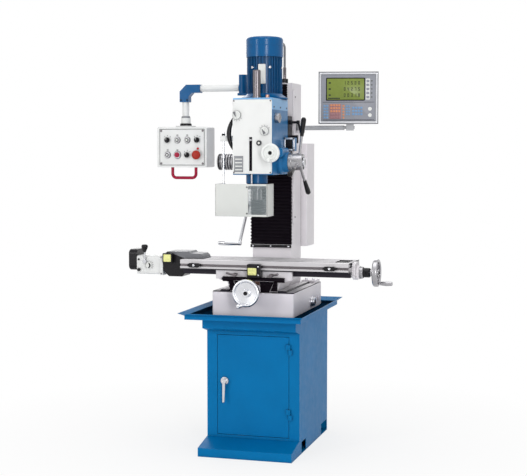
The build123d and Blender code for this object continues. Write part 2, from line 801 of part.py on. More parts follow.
with BuildPart() as feed_lever:
    lever_face_y = feed_y[0] - 7
    knob_z = feed_lever_at[1] + 43
    rod("Y", feed_lever_at[0], feed_lever_at[1], (lever_face_y - 3, feed_y[0] + 18), 8)
    rod("Y", feed_lever_at[0], feed_lever_at[1], (lever_face_y - 5, feed_y[0] - pass_gap), 18)
    bar(
        (feed_lever_at[0], lever_face_y, feed_lever_at[1]),
        (feed_lever_at[0], lever_face_y, knob_z + 4),
        8,
    )
    turned("Z", feed_lever_at[0], lever_face_y, [
        (0, knob_z), (5, knob_z), (13, knob_z + 18), (16, knob_z + 27),
        (14, knob_z + 35), (8, knob_z + 38), (0, knob_z + 38),
    ])

with BuildPart() as feed_dial:
    rod("Y", feed_dial_at[0], feed_dial_at[1], (feed_y[0] - 10, feed_y[0] + 18), 8)
    turned("Y", feed_dial_at[0], feed_dial_at[1], [
        (0, feed_y[0] - pass_gap), (14, feed_y[0] - pass_gap), (14, feed_y[0] - 5), (11, feed_y[0] - 8),
        (11, feed_y[0] - 13), (9, feed_y[0] - 15), (0, feed_y[0] - 15),
    ])

# Hollow column with its dovetail and the brackets of pendant and display
foot_z = way_z + column_foot_h
cavity_y = (column_y[0] + 14, column_y[1] - column_wall)
web_z = (crank_z - 57, crank_z - 37)
with BuildPart() as column:
    block((-half_column, half_column), column_y, (way_z, column_z))
    block((-half_column, half_column), (column_face_y, column_y[0]), (way_z, foot_z))
    prism(
        Plane.XY.offset(foot_z),
        flare(0, column_dove_neck, column_dove_wide, column_y[0], column_face_y),
        column_z - foot_z,
    )
    inner_x = (-half_column + column_wall, half_column - column_wall)
    block(inner_x, cavity_y, (way_z + 15, web_z[0]), Mode.SUBTRACT)
    block(inner_x, cavity_y, (web_z[1], column_z - 20), Mode.SUBTRACT)
    block((-45, 45), (cavity_y[0] - 11, cavity_y[0] + 1), (web_z[1], crank_z + 43), Mode.SUBTRACT)
    block(
        (-column_slot / 2, column_slot / 2),
        (column_face_y - 1, cavity_y[0] + 1),
        (crank_z + 40, column_z - 20),
        Mode.SUBTRACT,
    )
    for z in (web_z, (column_z - 20, column_z)):
        rod("Z", 0, z_screw_y, (z[0] - 1, z[1] + 1), screw_d + 2 * run_fit, Mode.SUBTRACT)
    rod("X", z_screw_y, crank_z, (-half_column - 25, -half_column), 50)
    rod(
        "X", z_screw_y, crank_z, (-half_column - 26, inner_x[0] + 1),
        crank_shaft_d + 2 * run_fit, Mode.SUBTRACT,
    )
    block((-bellows_w / 2, bellows_w / 2), (column_face_y - 16, column_face_y), (foot_z - 7, foot_z + 9))
    arm_low_z = pendant_tube_z - 25
    block((pivot_x - 22, -half_column), (pivot_y - 20, pivot_y + 20), (arm_low_z - 12, arm_low_z))
    rod("Z", pivot_x, pivot_y, (arm_low_z - 1, arm_low_z + 58), pivot_pin_d)
    display_low_z = display_arm_z - 14
    block(
        (half_column, display_pivot[0] + 20),
        (display_pivot[1] - 16, display_pivot[1] + 20),
        (display_low_z - 12, display_low_z),
    )
    rod("Z", display_pivot[0], display_pivot[1], (display_low_z - 1, display_low_z + 24), 16)

# Cover of the height scale on the right flank
with BuildPart() as z_scale_cover:
    scale_z = (foot_z + 107, column_z - 34)
    block((half_column, half_column + 8), (column_y[0] + 4, column_y[0] + 44), scale_z)
    chamfer(edges().filter_by(Axis.Z).group_by(Axis.X)[-1], 3)

# Electrics box behind the column
with BuildPart() as electrics_box:
    box_y = (column_y[1], column_y[1] + electrics_d)
    box_z = (foot_z - 12, foot_z - 12 + electrics_h)
    wall = 3.0
    rounded(Plane.XY.offset(box_z[0]), (0, sum(box_y) / 2), (electrics_w, electrics_d), 8, electrics_h)
    rounded(
        Plane.XY.offset(box_z[0] + wall),
        (0, sum(box_y) / 2),
        (electrics_w - 2 * wall, electrics_d - 2 * wall),
        5,
        electrics_h - 2 * wall,
        Mode.SUBTRACT,
    )
    rounded(
        Plane.XZ.offset(-box_y[1] - 4), (0, sum(box_z) / 2), (electrics_w - 32, electrics_h - 36), 6, 4,
    )
    for x in (-60, 0, 60):
        rod("Z", x, sum(box_y) / 2, (box_z[0] - 1, box_z[0] + 4), 22, Mode.SUBTRACT)

# Crank with the driving bevel of the vertical feed
hub_out_x = -half_column - 44
with BuildPart() as z_crank:
    rod("X", z_screw_y, crank_z, (hub_out_x, -bevel_near), crank_shaft_d)
    taper(
        "X", z_screw_y, crank_z, (-bevel_far, -bevel_near),
        2 * (bevel_far - pass_gap), 2 * (bevel_near - pass_gap),
    )
    rod("X", z_screw_y, crank_z, (hub_out_x - 2, -half_column - 26), 36)
    elbow = (hub_out_x - 25, z_screw_y - crank_arm_y, crank_z - crank_arm_z)
    bar((hub_out_x + 6, z_screw_y, crank_z), elbow, 15)
    rod("X", elbow[1], elbow[2], (elbow[0] - 6, elbow[0] + 8), 20)
    grip_x = (elbow[0] - crank_grip_len, elbow[0] - 6)
    turned("X", elbow[1], elbow[2], [
        (0, grip_x[0]), (8, grip_x[0]), (11, grip_x[0] + 4), (12.5, grip_x[0] + 35),
        (9, grip_x[1]), (0, grip_x[1]),
    ])

# Vertical lead screw with the driven bevel
with BuildPart() as z_leadscrew:
    rod("Z", 0, z_screw_y, (web_z[0] + 1, crank_z + bevel_near), screw_d)
    taper(
        "Z", 0, z_screw_y, (crank_z + bevel_near, crank_z + bevel_far),
        2 * (bevel_near - pass_gap), 2 * (bevel_far - pass_gap),
    )
    rod("Z", 0, z_screw_y, (crank_z + bevel_far, column_z - 20 - pass_gap), z_screw_d)
    rod("Z", 0, z_screw_y, (column_z - 21, column_z - 2), screw_d)

# Pleated bellows in front of the column ways
slide_z = (head_z - slide_down, head_z + slide_up)
with BuildPart() as column_bellows:
    bellows_z = (foot_z + 9, slide_z[0])
    pleat = (bellows_z[1] - bellows_z[0]) / bellows_pleats
    fold = [(column_face_y - 3, bellows_z[1]), (column_face_y - 3, bellows_z[0])]
    for i in range(bellows_pleats):
        fold.append((column_face_y - 7, bellows_z[0] + i * pleat))
        fold.append((column_face_y - 16, bellows_z[0] + (i + 0.5) * pleat))
    fold.append((column_face_y - 7, bellows_z[1]))
    prism(Plane.YZ.offset(-bellows_w / 2), fold, bellows_w)

# Head slide on the column dovetail, with the nut lug and the tilt spigot
head_lock_y = head_back_y + 25
head_lock_z = (head_z - 55, head_z + 101)
lug_z = (head_z - 30, head_z + 10)
nut_half = 22.0
with BuildPart() as head_slide:
    block((-half_column, half_column), (head_back_y, column_y[0] - clear_gap), slide_z)
    prism(
        Plane.XY.offset(slide_z[0] - 1),
        flare(0, column_dove_neck, column_dove_wide, column_y[0], column_face_y - way_fit, way_fit),
        slide_z[1] - slide_z[0] + 2,
        Mode.SUBTRACT,
    )
    block((-25, 25), (column_face_y - 1, z_screw_y + nut_half), lug_z)
    rod("Z", 0, z_screw_y, (lug_z[0] - 1, lug_z[1] + 1), z_screw_d + 4, Mode.SUBTRACT)
    rod("Y", 0, head_z, (head_back_y - 14.5, head_back_y), spigot_d)
    block(
        (half_column, half_column + 36),
        (column_face_y - 8, column_face_y + 4),
        (head_z + 2, head_z + 40),
    )
    for z in head_lock_z:
        rod("X", head_lock_y, z, (half_column - 20, half_column + 1), 12 + 2 * run_fit, Mode.SUBTRACT)

# Bronze nut of the vertical screw
with BuildPart() as z_nut:
    nut_z = (lug_z[0] - 40, lug_z[0])
    block((-nut_half, nut_half), (z_screw_y - nut_half, z_screw_y + nut_half), nut_z)
    rod("Z", 0, z_screw_y, (nut_z[0] - 1, nut_z[1] + 1), z_screw_d + 2 * run_fit, Mode.SUBTRACT)


def head_lock(z):
    """Clamp screw of the head slide with a hanging lever."""
    rod("X", head_lock_y, z, (half_column - 18, half_column + 45), 12)
    rod("X", head_lock_y, z, (half_column + pass_gap, half_column + 14), 22)
    rod("X", head_lock_y, z, (half_column + 36, half_column + 50), 18)
    lever((half_column + 43, head_lock_y, z), (half_column + 58, head_lock_y, z - 52), 9, 14)


with BuildPart() as head_lock_upper:
    head_lock(head_lock_z[1])
with BuildPart() as head_lock_lower:
    head_lock(head_lock_z[0])

# Head casting with quill bore, pinion bore, worm box and gear space
head_y = (head_front_y, head_back_y - way_fit)
head_mid = (0, sum(head_y) / 2)
head_size = (head_w, head_y[1] - head_y[0])
head_corner = 7.0
boss_low_z = head_low_z - boss_h
worm_x = half_head + 8.5
worm_z = pinion_z + 42
worm_y = (pinion_y - 80, pinion_y + 30)
stop_x = -7.0
stop_y = head_front_y + 11
knob_left = (-73.0, head_z + 128)
knob_right = (59.0, head_z + 55)
guard_x = -half_head - 64.5
guard_y = spindle_y - 8
guard_bracket_z = (head_z + 10, head_z + 35)
with BuildPart() as head_casting:
    rounded(Plane.XY.offset(head_low_z), head_mid, head_size, head_corner, head_top_z - head_low_z)
    turned("Z", 0, spindle_y, [
        (0, boss_low_z), (boss_d / 2 - 4, boss_low_z), (boss_d / 2, boss_low_z + 4),
        (boss_d / 2, head_low_z), (0, head_low_z),
    ])
    turned("X", pinion_y, pinion_z, [
        (0, half_head - 1), (hub_d / 2 + 14, half_head - 1), (hub_d / 2 + 14, half_head + 12),
        (hub_d / 2 + 7, half_head + 22), (hub_d / 2 + 4, hub_x), (0, hub_x),
    ])
    rounded(
        Plane.XZ.offset(-worm_y[1]), (half_head + 13, worm_z + 2), (46, 44), 14, worm_y[1] - worm_y[0],
    )
    turned("X", spindle_y - 21, head_z + 115, [
        (0, half_head - 1), (22, half_head - 1), (22, half_head + 14),
        (16, half_head + 20), (0, half_head + 20),
    ])
    rounded(Plane.YZ.offset(half_head - 1), (0, head_z - 4), (40, 62), 6, 54)
    block((guard_x - 11, -half_head), (guard_y - 12, guard_y + 12), guard_bracket_z)
    rod("Z", 0, spindle_y, (boss_low_z - 1, quill_z[1] + 20), quill_d + 2 * run_fit, Mode.SUBTRACT)
    rod("Z", 0, spindle_y, (quill_z[1] + 19, head_top_z + 1), 60, Mode.SUBTRACT)
    block((-70, 70), (pinion_y + 6, head_back_y - 20), (head_z + 10, head_top_z + 1), Mode.SUBTRACT)
    block((-22, 22), (spindle_y, pinion_y + 7), (quill_z[1] + 30, head_top_z + 1), Mode.SUBTRACT)
    pinion_room = pinion_w / 2 + 2
    rod(
        "X", pinion_y, pinion_z, (-pinion_room, pinion_room),
        2 * (pitch_r + module + 1), Mode.SUBTRACT,
    )
    rod("X", pinion_y, pinion_z, (-half_head - 1, hub_x + 1), shaft_d + 2 * run_fit, Mode.SUBTRACT)
    rod("Y", worm_x, worm_z, (worm_y[0] - 1, worm_y[1] - 12), 14 + 2 * run_fit, Mode.SUBTRACT)
    rod("Y", 0, head_z, (head_back_y - 15, head_back_y + 1), spigot_d + 2 * run_fit, Mode.SUBTRACT)
    block(
        (stop_x - 9, stop_x + 9),
        (head_front_y - 1, stop_y + 8),
        (head_low_z - 1, head_z + 40),
        Mode.SUBTRACT,
    )
    for at in (knob_left, knob_right):
        rod(
            "Y", at[0], at[1], (head_front_y - 1, head_front_y + 30),
            knob_stem_d + 2 * run_fit, Mode.SUBTRACT,
        )
    rod(
        "Z", guard_x, guard_y, (guard_bracket_z[0] - 1, guard_bracket_z[1] + 1),
        8 + 2 * run_fit, Mode.SUBTRACT,
    )

# Gearbox cover that carries the motor
with BuildPart() as gearbox_cover:
    rounded(Plane.XY.offset(head_top_z), head_mid, head_size, head_corner, cover_top_z - head_top_z)
    fillet(faces().sort_by(Axis.Z)[-1].edges(), 4)
    block(
        (-half_head + 10, half_head - 10),
        (head_y[0] + 10, head_y[1] - 10),
        (head_top_z - 1, cover_top_z - 10),
        Mode.SUBTRACT,
    )
    rod("Z", 0, motor_y, (cover_top_z - 11, cover_top_z + 1), 50, Mode.SUBTRACT)
    rod("Z", 0, spindle_y, (cover_top_z - 11, cover_top_z + 1), 18, Mode.SUBTRACT)
    rod("Z", 50, spindle_y, (cover_top_z - 1, cover_top_z + 16), 18)

# Front plate with the depth slot
plate_y = (head_front_y - plate_t, head_front_y)
plate_z = (head_low_z + 5, cover_top_z - 8)
slot_z = (head_low_z + 18, head_z + 28)
with BuildPart() as front_plate:
    rounded(
        Plane.XZ.offset(-plate_y[1]),
        (0, sum(plate_z) / 2),
        (head_w - 4, plate_z[1] - plate_z[0]),
        8,
        plate_t,
    )
    block((stop_x - 7, stop_x + 7), (plate_y[0] - 1, plate_y[1] + 1), slot_z, Mode.SUBTRACT)
    for at in (knob_left, knob_right):
        rod("Y", at[0], at[1], (plate_y[0] - 1, plate_y[1] + 1), knob_stem_d + 2 * run_fit, Mode.SUBTRACT)
    rod("Y", 33, head_z + 1, (plate_y[0] - 5, plate_y[0]), 24)
    rod("Y", 33, head_z + 1, (plate_y[0] - 6, plate_y[0]), 15, Mode.SUBTRACT)


def speed_knob(at):
    """Gear selector knob with a pointer bar."""
    rod("Y", at[0], at[1], (plate_y[0] - 6, head_front_y + 28), knob_stem_d)
    turned("Y", at[0], at[1], [
        (0, plate_y[0] - pass_gap), (knob_d / 2, plate_y[0] - pass_gap), (knob_d / 2, plate_y[0] - 8),
        (knob_d / 2 - 5, plate_y[0] - 14), (0, plate_y[0] - 14),
    ])
    rounded(Plane.XZ.offset(-plate_y[0] + 13), (at[0], at[1] + 1), (10, 34), 4.9, 13)


with BuildPart() as speed_knob_left:
    speed_knob(knob_left)
with BuildPart() as speed_knob_right:
    speed_knob(knob_right)

# Motor body with flared flange, cooling fins and rotor room
with BuildPart() as motor_body:
    core_d = motor_d - 2 * fin_depth
    flange_r = motor_flange_d / 2
    fin_z = (motor_low_z + motor_flange_h, cowl_low_z)
    with BuildSketch(half_plane("Z", 0, motor_y)) as flange:
        with BuildLine():
            Polyline(
                (motor_d / 2, fin_z[0]),
                (0, fin_z[0]),
                (0, motor_low_z),
                (flange_r, motor_low_z),
                (flange_r, motor_low_z + 7),
            )
            RadiusArc((flange_r, motor_low_z + 7), (motor_d / 2, fin_z[0]), motor_d / 2)
        make_face()
    revolve(flange.sketch, axis=Axis((0, motor_y, 0), ALONG["Z"]))
    rod("Z", 0, motor_y, fin_z, core_d)
    with BuildSketch(Plane.XY.offset(fin_z[0] - 1)) as fins:
        with Locations((0, motor_y)):
            with PolarLocations((core_d + fin_depth) / 2, fin_count):
                Rectangle(fin_depth + 1, 3)
    extrude(fins.sketch, amount=fin_z[1] - fin_z[0] - 7)
    rod("Z", 0, motor_y, (cowl_low_z - 8, cowl_low_z), cowl_d)
    rod("Z", 0, motor_y, (motor_low_z + 38, cowl_low_z + 1), rotor_d + 3, Mode.SUBTRACT)
    rod("Z", 0, motor_y, (motor_low_z - 1, motor_low_z + 39), rotor_shaft_d + 2 * run_fit, Mode.SUBTRACT)

# Fan cowl with air slots
with BuildPart() as motor_cowl:
    rod("Z", 0, motor_y, (cowl_low_z, cowl_low_z + cowl_h), cowl_d)
    fillet(faces().sort_by(Axis.Z)[-1].edges(), 14)
    rod("Z", 0, motor_y, (cowl_low_z - 1, cowl_low_z + cowl_h - 14), cowl_d - 8, Mode.SUBTRACT)
    rod("Z", 0, motor_y, (cowl_low_z + cowl_h - 15, cowl_low_z + cowl_h - 4), cowl_d - 36, Mode.SUBTRACT)
    with BuildSketch(Plane.XY.offset(cowl_low_z + cowl_h - 10)):
        with Locations((0, motor_y)):
            with PolarLocations(42, 16):
                Rectangle(36, 6)
    extrude(amount=20, mode=Mode.SUBTRACT)

# Rotor with its drive gear blank and fan
with BuildPart() as motor_rotor:
    rod("Z", 0, motor_y, (head_top_z - 40, cowl_low_z + 55), rotor_shaft_d)
    rod("Z", 0, motor_y, (motor_low_z + 46, cowl_low_z - 20), rotor_d)
    rod("Z", 0, motor_y, (head_top_z - 40, head_top_z - 10), 44)
    rod("Z", 0, motor_y, (cowl_low_z + 14, cowl_low_z + 18), 150)
    with BuildSketch(Plane.XY.offset(cowl_low_z + 17)):
        with Locations((0, motor_y)):
            with PolarLocations(46, 8):
                Rectangle(50, 3)
    extrude(amount=30)

# Cap over the drawbar
with BuildPart() as drawbar_cap:
    rod("Z", 0, spindle_y, (cover_top_z, cover_top_z + drawbar_cap_h), drawbar_cap_d)
    fillet(faces().sort_by(Axis.Z)[-1].edges(), 6)
    rod("Z", 0, spindle_y, (cover_top_z, cover_top_z + 10), drawbar_cap_d + 4)
    rod(
        "Z", 0, spindle_y, (cover_top_z - 1, cover_top_z + drawbar_cap_h - 5),
        drawbar_cap_d - 8, Mode.SUBTRACT,
    )

# Drum of the quill return spring
with BuildPart() as spring_drum:
    drum_x = -half_head - drum_len
    rod("X", pinion_y, pinion_z, (drum_x, -half_head), drum_d)
    fillet(faces().sort_by(Axis.X)[0].edges(), 5)
    rod("X", pinion_y, pinion_z, (drum_x + 8, -half_head + 1), drum_d - 28, Mode.SUBTRACT)
    for i in range(drum_grooves):
        groove_x = drum_x + 14 + i * (drum_len - 20) / drum_grooves
        turned("X", pinion_y, pinion_z, [
            (drum_d / 2 - groove_deep, groove_x),
            (drum_d / 2 + 1, groove_x),
            (drum_d / 2 + 1, groove_x + groove_w),
            (drum_d / 2 - groove_deep, groove_x + groove_w),
        ], Mode.SUBTRACT)

# Quill with its rack, moving down out of the head
pitch = pi * module
rack_half = pinion_w / 2 + 1.5
slope = 0.364
gap_tip = pitch / 4 + 0.1 + module * slope
gap_root = pitch / 4 + 0.1 - 1.25 * module * slope
rack_gaps = int((quill_z[1] - pinion_z) / pitch) + 2
with BuildPart() as quill:
    rod("Z", 0, spindle_y, quill_z, quill_d)
    rod("Z", 0, spindle_y, (quill_z[0] - 1, quill_z[1] + 1), spindle_d + 2 * run_fit, Mode.SUBTRACT)
    block(
        (-rack_half, rack_half),
        (rack_y + module, spindle_y + quill_d),
        (pinion_z - 3 * pitch, quill_z[1] + 1),
        Mode.SUBTRACT,
    )
    with BuildSketch(Plane.YZ.offset(-rack_half)):
        with Locations(*[(0, pinion_z + (i - 2) * pitch) for i in range(rack_gaps)]):
            Polygon(
                (rack_y - 1.25 * module, -gap_root),
                (rack_y + module + 0.5, -gap_tip - 0.5 * slope),
                (rack_y + module + 0.5, gap_tip + 0.5 * slope),
                (rack_y - 1.25 * module, gap_root),
                align=None,
            )
    extrude(amount=2 * rack_half, mode=Mode.SUBTRACT)

# Spindle with an open taper socket
nose_z = (quill_z[0] - nose_h, quill_z[0] - pass_gap)
with BuildPart() as spindle:
    rod("Z", 0, spindle_y, nose_z, nose_d)
    rod("Z", 0, spindle_y, (nose_z[1], quill_z[1]), spindle_d)
    rod("Z", 0, spindle_y, (quill_z[1], head_top_z - 11), 28)
    taper("Z", 0, spindle_y, (nose_z[0], nose_z[0] + 70), taper_d, taper_d * 0.4, Mode.SUBTRACT)
    rod("Z", 0, spindle_y, (nose_z[0], head_top_z), 12, Mode.SUBTRACT)

# Depth stop clamped on the quill, with its rod and pointer
ring_z = (quill_z[0], quill_z[0] + ring_h)
pointer_z = head_z + 19
with BuildPart() as depth_stop:
    rod("Z", 0, spindle_y, ring_z, ring_d)
    block((stop_x - 9, stop_x + 9), (stop_y - 8, spindle_y - quill_d / 2 - 3), ring_z)
    rod("Z", 0, spindle_y, (ring_z[0] - 1, ring_z[1] + 1), quill_d, Mode.SUBTRACT)
    rod("Z", stop_x, stop_y, (ring_z[0] + 2, pointer_z), 8)
    block((stop_x - 5, stop_x + 5), (plate_y[0] - 4, stop_y), (pointer_z - 8, pointer_z))

# Capstan: pinion shaft, turned hub and three levers
hub_span = (hub_x + pass_gap, hub_x + hub_len)
hub_r = hub_d / 2


def lever_point(angle, reach):
    """Point on a capstan lever at a distance from the shaft."""
    return (
        hub_x + 44 + 10 * reach / lever_reach,
        pinion_y + cos(radians(angle)) * reach,
        pinion_z + sin(radians(angle)) * reach,
    )


root_r = pitch_r - 1.25 * module
tip_r = pitch_r + module
with BuildPart() as capstan:
    rod("X", pinion_y, pinion_z, (-half_head - 6, hub_x + 10), shaft_d)
    with BuildSketch(Plane.YZ.offset(-pinion_w / 2)) as gear:
        with Locations((pinion_y, pinion_z)):
            Circle(root_r)
            with PolarLocations(0, pinion_teeth):
                Polygon((root_r - 1, -1.75), (tip_r, -0.55), (tip_r, 0.55), (root_r - 1, 1.75), align=None)
    extrude(gear.sketch, amount=pinion_w)
    turned("X", pinion_y, pinion_z, [
        (0, hub_span[0]), (hub_r, hub_span[0]), (hub_r, hub_span[0] + 14), (hub_r - 3, hub_span[0] + 16),
        (hub_r - 3, hub_span[1] - 4), (hub_r - 7, hub_span[1]), (hub_r - 20, hub_span[1]),
        (hub_r - 20, hub_span[1] + 4), (hub_r - 22, hub_span[1] + 6), (0, hub_span[1] + 6),
    ])
    for angle in lever_angles:
        bar(lever_point(angle, 20), lever_point(angle, lever_reach - 8), lever_d)

with BuildPart() as capstan_grips:
    for angle in lever_angles:
        grip_start = lever_point(angle, lever_reach - grip_len)
        grip_run = Vector(*lever_point(angle, lever_reach)) - Vector(*grip_start)
        spun(grip_start, grip_run, [
            (0, 0), (0.3 * grip_d, 0), (0.36 * grip_d, 4), (grip_d / 2, 0.75 * grip_len),
            (grip_d / 2, grip_run.length - 8), (0.3 * grip_d, grip_run.length), (0, grip_run.length),
        ])
        bar(
            lever_point(angle, lever_reach - grip_len - 5), lever_point(angle, lever_reach - 8),
            lever_d, Mode.SUBTRACT,
        )

# Fine feed wheel with its worm shaft
with BuildPart() as fine_feed_wheel:
    fine_y = head_front_y - 58
    wheel("Y", worm_x, worm_z, fine_y, fine_wheel_d, 16, -1, (worm_x, worm_z - 31), 34)
    rod("Y", worm_x, worm_z, (fine_y - 10, worm_y[1] - 15), 14)
    rod("Y", worm_x, worm_z, (fine_y - 4, plate_y[0] - 8), 24)

# Swinging chip guard with its rod
guard_z = (boss_low_z - 146, boss_low_z + 2)
guard_front_y = spindle_y - 108
guard_right_x = 80.0
guard_window_w = 87.0
with BuildPart() as chip_guard:
    block((guard_x - 4, guard_right_x), (guard_front_y, guard_front_y + 3), guard_z)
    rounded(
        Plane.XZ.offset(-guard_front_y - 1),
        (guard_right_x - 4 - guard_window_w / 2, sum(guard_z) / 2),
        (guard_window_w, guard_z[1] - guard_z[0] - 16),
        3,
        2,
        Mode.SUBTRACT,
    )
    block((guard_right_x - 3, guard_right_x), (guard_front_y, spindle_y), guard_z)
    block((guard_x - 4, guard_x - 1), (guard_front_y, guard_y), guard_z)
    rod("Z", guard_x, guard_y, guard_z, 16)
    rod("Z", guard_x, guard_y, (guard_z[0], guard_bracket_z[1] + 18), 8)
    rod("Z", guard_x, guard_y, (guard_bracket_z[1] + pass_gap, guard_bracket_z[1] + 10), 16)

# Pendant arm that turns on the column bracket
with BuildPart() as pendant_arm:
    rod("Z", pivot_x, pivot_y, (arm_low_z + pass_gap, arm_low_z + 89), pivot_d)
    rod("X", pivot_y, pendant_tube_z, (pendant_x + 70, pivot_x - 12), pendant_tube_d)
    prism(
        Plane.XZ.offset(-pivot_y - 21),
        [
            (pendant_x - 25, pendant_tube_z - 66),
            (pendant_x + 21, pendant_tube_z - 66),
            (pendant_x + 21, pendant_tube_z - 40),
            (pendant_x + 38, pendant_tube_z - 21),
            (pendant_x + 80, pendant_tube_z - 21),
            (pendant_x + 80, pendant_tube_z + 19),
            (pendant_x + 8, pendant_tube_z + 19),
            (pendant_x - 25, pendant_tube_z - 14),
        ],
        42,
    )
    rod("Z", pendant_x, pivot_y, (pendant_top_z + 11, pendant_tube_z - 60), pendant_tube_d + 2)
    rod(
        "Z", pivot_x, pivot_y, (arm_low_z, arm_low_z + 59), pivot_pin_d + 2 * run_fit, Mode.SUBTRACT,
    )

# Pendant box with bezels for its controls and lamps
columns_x = [pendant_x - 75 + i * control_pitch for i in range(4)]
rows_z = (pendant_low_z + 61, pendant_low_z + 61 + control_row)
face_y = pendant_face_y
stem_at = [(columns_x[0], rows_z[1]), (columns_x[3], rows_z[1]), (columns_x[2], rows_z[0])]
push_at = [(columns_x[0], rows_z[0]), (columns_x[1], rows_z[0])]
stop_at = (columns_x[3], rows_z[0])
lamp_at = [(columns_x[1], rows_z[1]), (columns_x[2], rows_z[1])]
with BuildPart() as pendant_box:
    box_y = (face_y, face_y + pendant_d)
    box_z = (pendant_low_z, pendant_low_z + pendant_h)
    box_mid = (pendant_x, sum(box_z) / 2)
    rounded(Plane.XZ.offset(-box_y[1]), box_mid, (pendant_w, pendant_h), 8, pendant_d)
    rounded(
        Plane.XZ.offset(-box_y[1] + pendant_sheet),
        box_mid,
        (pendant_w - 2 * pendant_sheet, pendant_h - 2 * pendant_sheet),
        6,
        pendant_d - 2 * pendant_sheet,
        Mode.SUBTRACT,
    )
    rounded(Plane.XY.offset(box_z[1] - 3), (pendant_x, pivot_y), (80, 80), 6, pendant_top_z - box_z[1] + 3)
    rod("Z", pendant_x, pivot_y, (pendant_top_z - 1, pendant_top_z + 39), pendant_tube_d + 16)
    rod(
        "Z", pendant_x, pivot_y, (pendant_top_z + 11 - pass_gap, pendant_top_z + 40),
        pendant_tube_d + 2 + 2 * run_fit, Mode.SUBTRACT,
    )
    for at, d in zip(push_at, (button_d, stop_push_d)):
        rod("Y", at[0], at[1], (face_y - 6, face_y), d + 8)
        rod("Y", at[0], at[1], (face_y - 7, face_y + 4), d + 2 * pass_gap, Mode.SUBTRACT)
    for at in stem_at:
        rod("Y", at[0], at[1], (face_y - 4, face_y), selector_d + 6)
        rod("Y", at[0], at[1], (face_y - 5, face_y + 4), knob_stem_d + 2 * run_fit, Mode.SUBTRACT)
    rod("Y", stop_at[0], stop_at[1], (face_y - 5, face_y), 30)
    rod("Y", stop_at[0], stop_at[1], (face_y - 6, face_y + 4), stop_stem_d + 2 * pass_gap, Mode.SUBTRACT)
    for at in lamp_at:
        rod("Y", at[0], at[1], (face_y - 9, face_y), 22)
    rod("Y", stop_at[0] + 4, stop_at[1] + 31, (face_y - 5, face_y), 10)
    rod("Z", pendant_x - 100, pivot_y, (box_z[0] - 1, box_z[0] + 4), 16, Mode.SUBTRACT)

# Pull handle under the pendant box
with BuildPart() as pendant_handle:
    handle_y = face_y + 34
    handle_low_z = pendant_low_z - 52
    with BuildLine(Plane.XZ.offset(-handle_y)) as route:
        FilletPolyline(
            (pendant_x - 61, pendant_low_z),
            (pendant_x - 61, handle_low_z),
            (pendant_x + 61, handle_low_z),
            (pendant_x + 61, pendant_low_z),
            radius=20,
        )
    with BuildSketch(Plane(origin=route.line @ 0, z_dir=route.line % 0)):
        Circle(7.5)
    sweep(path=route.line)


def selector(at):
    """Rotary switch knob with a grip bar."""
    rod("Y", at[0], at[1], (face_y - 10, face_y + 16), knob_stem_d)
    turned("Y", at[0], at[1], [
        (0, face_y - 4 - pass_gap), (selector_d / 2, face_y - 4 - pass_gap), (selector_d / 2, face_y - 11),
        (selector_d / 2 - 3, face_y - 14), (0, face_y - 14),
    ])
    rounded(Plane.XZ.offset(-face_y + 13), (at[0], at[1] + 0.5), (8, 25), 3.9, 11)


with BuildPart() as selector_left:
    selector(stem_at[0])
with BuildPart() as selector_right:
    selector(stem_at[1])
with BuildPart() as selector_lower:
    selector(stem_at[2])


def push_button(at, d):
    """Push button with a retaining collar behind the panel."""
    rod("Y", at[0], at[1], (face_y - 11, face_y + 6), d)
    chamfer(faces().sort_by(Axis.Y)[0].edges(), 1.5)
    rod("Y", at[0], at[1], (face_y + pendant_sheet + pass_gap, face_y + 7), d + 5)


with BuildPart() as start_button:
    push_button(push_at[0], button_d)
with BuildPart() as stop_button:
    push_button(push_at[1], stop_push_d)

with BuildPart() as emergency_stop:
    rod("Y", stop_at[0], stop_at[1], (face_y - 14, face_y + 8), stop_stem_d)
    turned("Y", stop_at[0], stop_at[1], [
        (0, face_y - 12), (0.32 * stop_d, face_y - 12), (stop_d / 2, face_y - 15),
        (stop_d / 2, face_y - 19), (0.42 * stop_d, face_y - 23), (0.25 * stop_d, face_y - 25),
        (0, face_y - 25.5),
    ])
    rod("Y", stop_at[0], stop_at[1], (face_y + pendant_sheet + pass_gap, face_y + 8), stop_stem_d + 6)

# Display arm that swings on the right of the column
turn = radians(display_turn)
across = (cos(turn), sin(turn), 0)
display_at = (display_pivot[0] + display_reach, display_pivot[1], display_arm_z)
with BuildPart() as display_arm:
    arm_z = (display_low_z + pass_gap, display_low_z + 22)
    block((display_pivot[0], display_at[0] - 22), (display_pivot[1] - 13, display_pivot[1] + 13), arm_z)
    rod("Z", display_pivot[0], display_pivot[1], (arm_z[0], arm_z[0] + 32), 36)
    rod(
        "Z", display_pivot[0], display_pivot[1], (arm_z[0] - 1, display_low_z + 25),
        16 + 2 * run_fit, Mode.SUBTRACT,
    )
    bar(
        (display_at[0] - 29 * across[0], display_at[1] - 29 * across[1], display_at[2] - 2),
        (display_at[0] + 30 * across[0], display_at[1] + 30 * across[1], display_at[2] - 2),
        14,
    )

# Display housing with a recessed front panel
with BuildPart(Plane(origin=display_at, x_dir=across, z_dir=(0, 0, 1))) as display_housing:
    half_w = display_w / 2
    half_d = display_d / 2
    high_z = 15 + display_h
    block((-half_w, half_w), (-half_d, half_d), (15, high_z))
    fillet(edges().filter_by(Axis((0, 0, 0), (-across[1], across[0], 0))), 9)
    block((-half_w + 4, half_w - 4), (-half_d + 10, half_d - 4), (19, high_z - 4), Mode.SUBTRACT)
    block((-half_w + 12, half_w - 12), (-half_d - 1, -half_d + 4), (27, high_z - 12), Mode.SUBTRACT)
    rod("Y", 60, 60, (half_d - 5, half_d + 1), 20, Mode.SUBTRACT)
    block((-10, 26), (-14, 14), (-16, 16))
    rod("X", 0, -2, (-11, 27), 14 + 2 * run_fit, Mode.SUBTRACT)

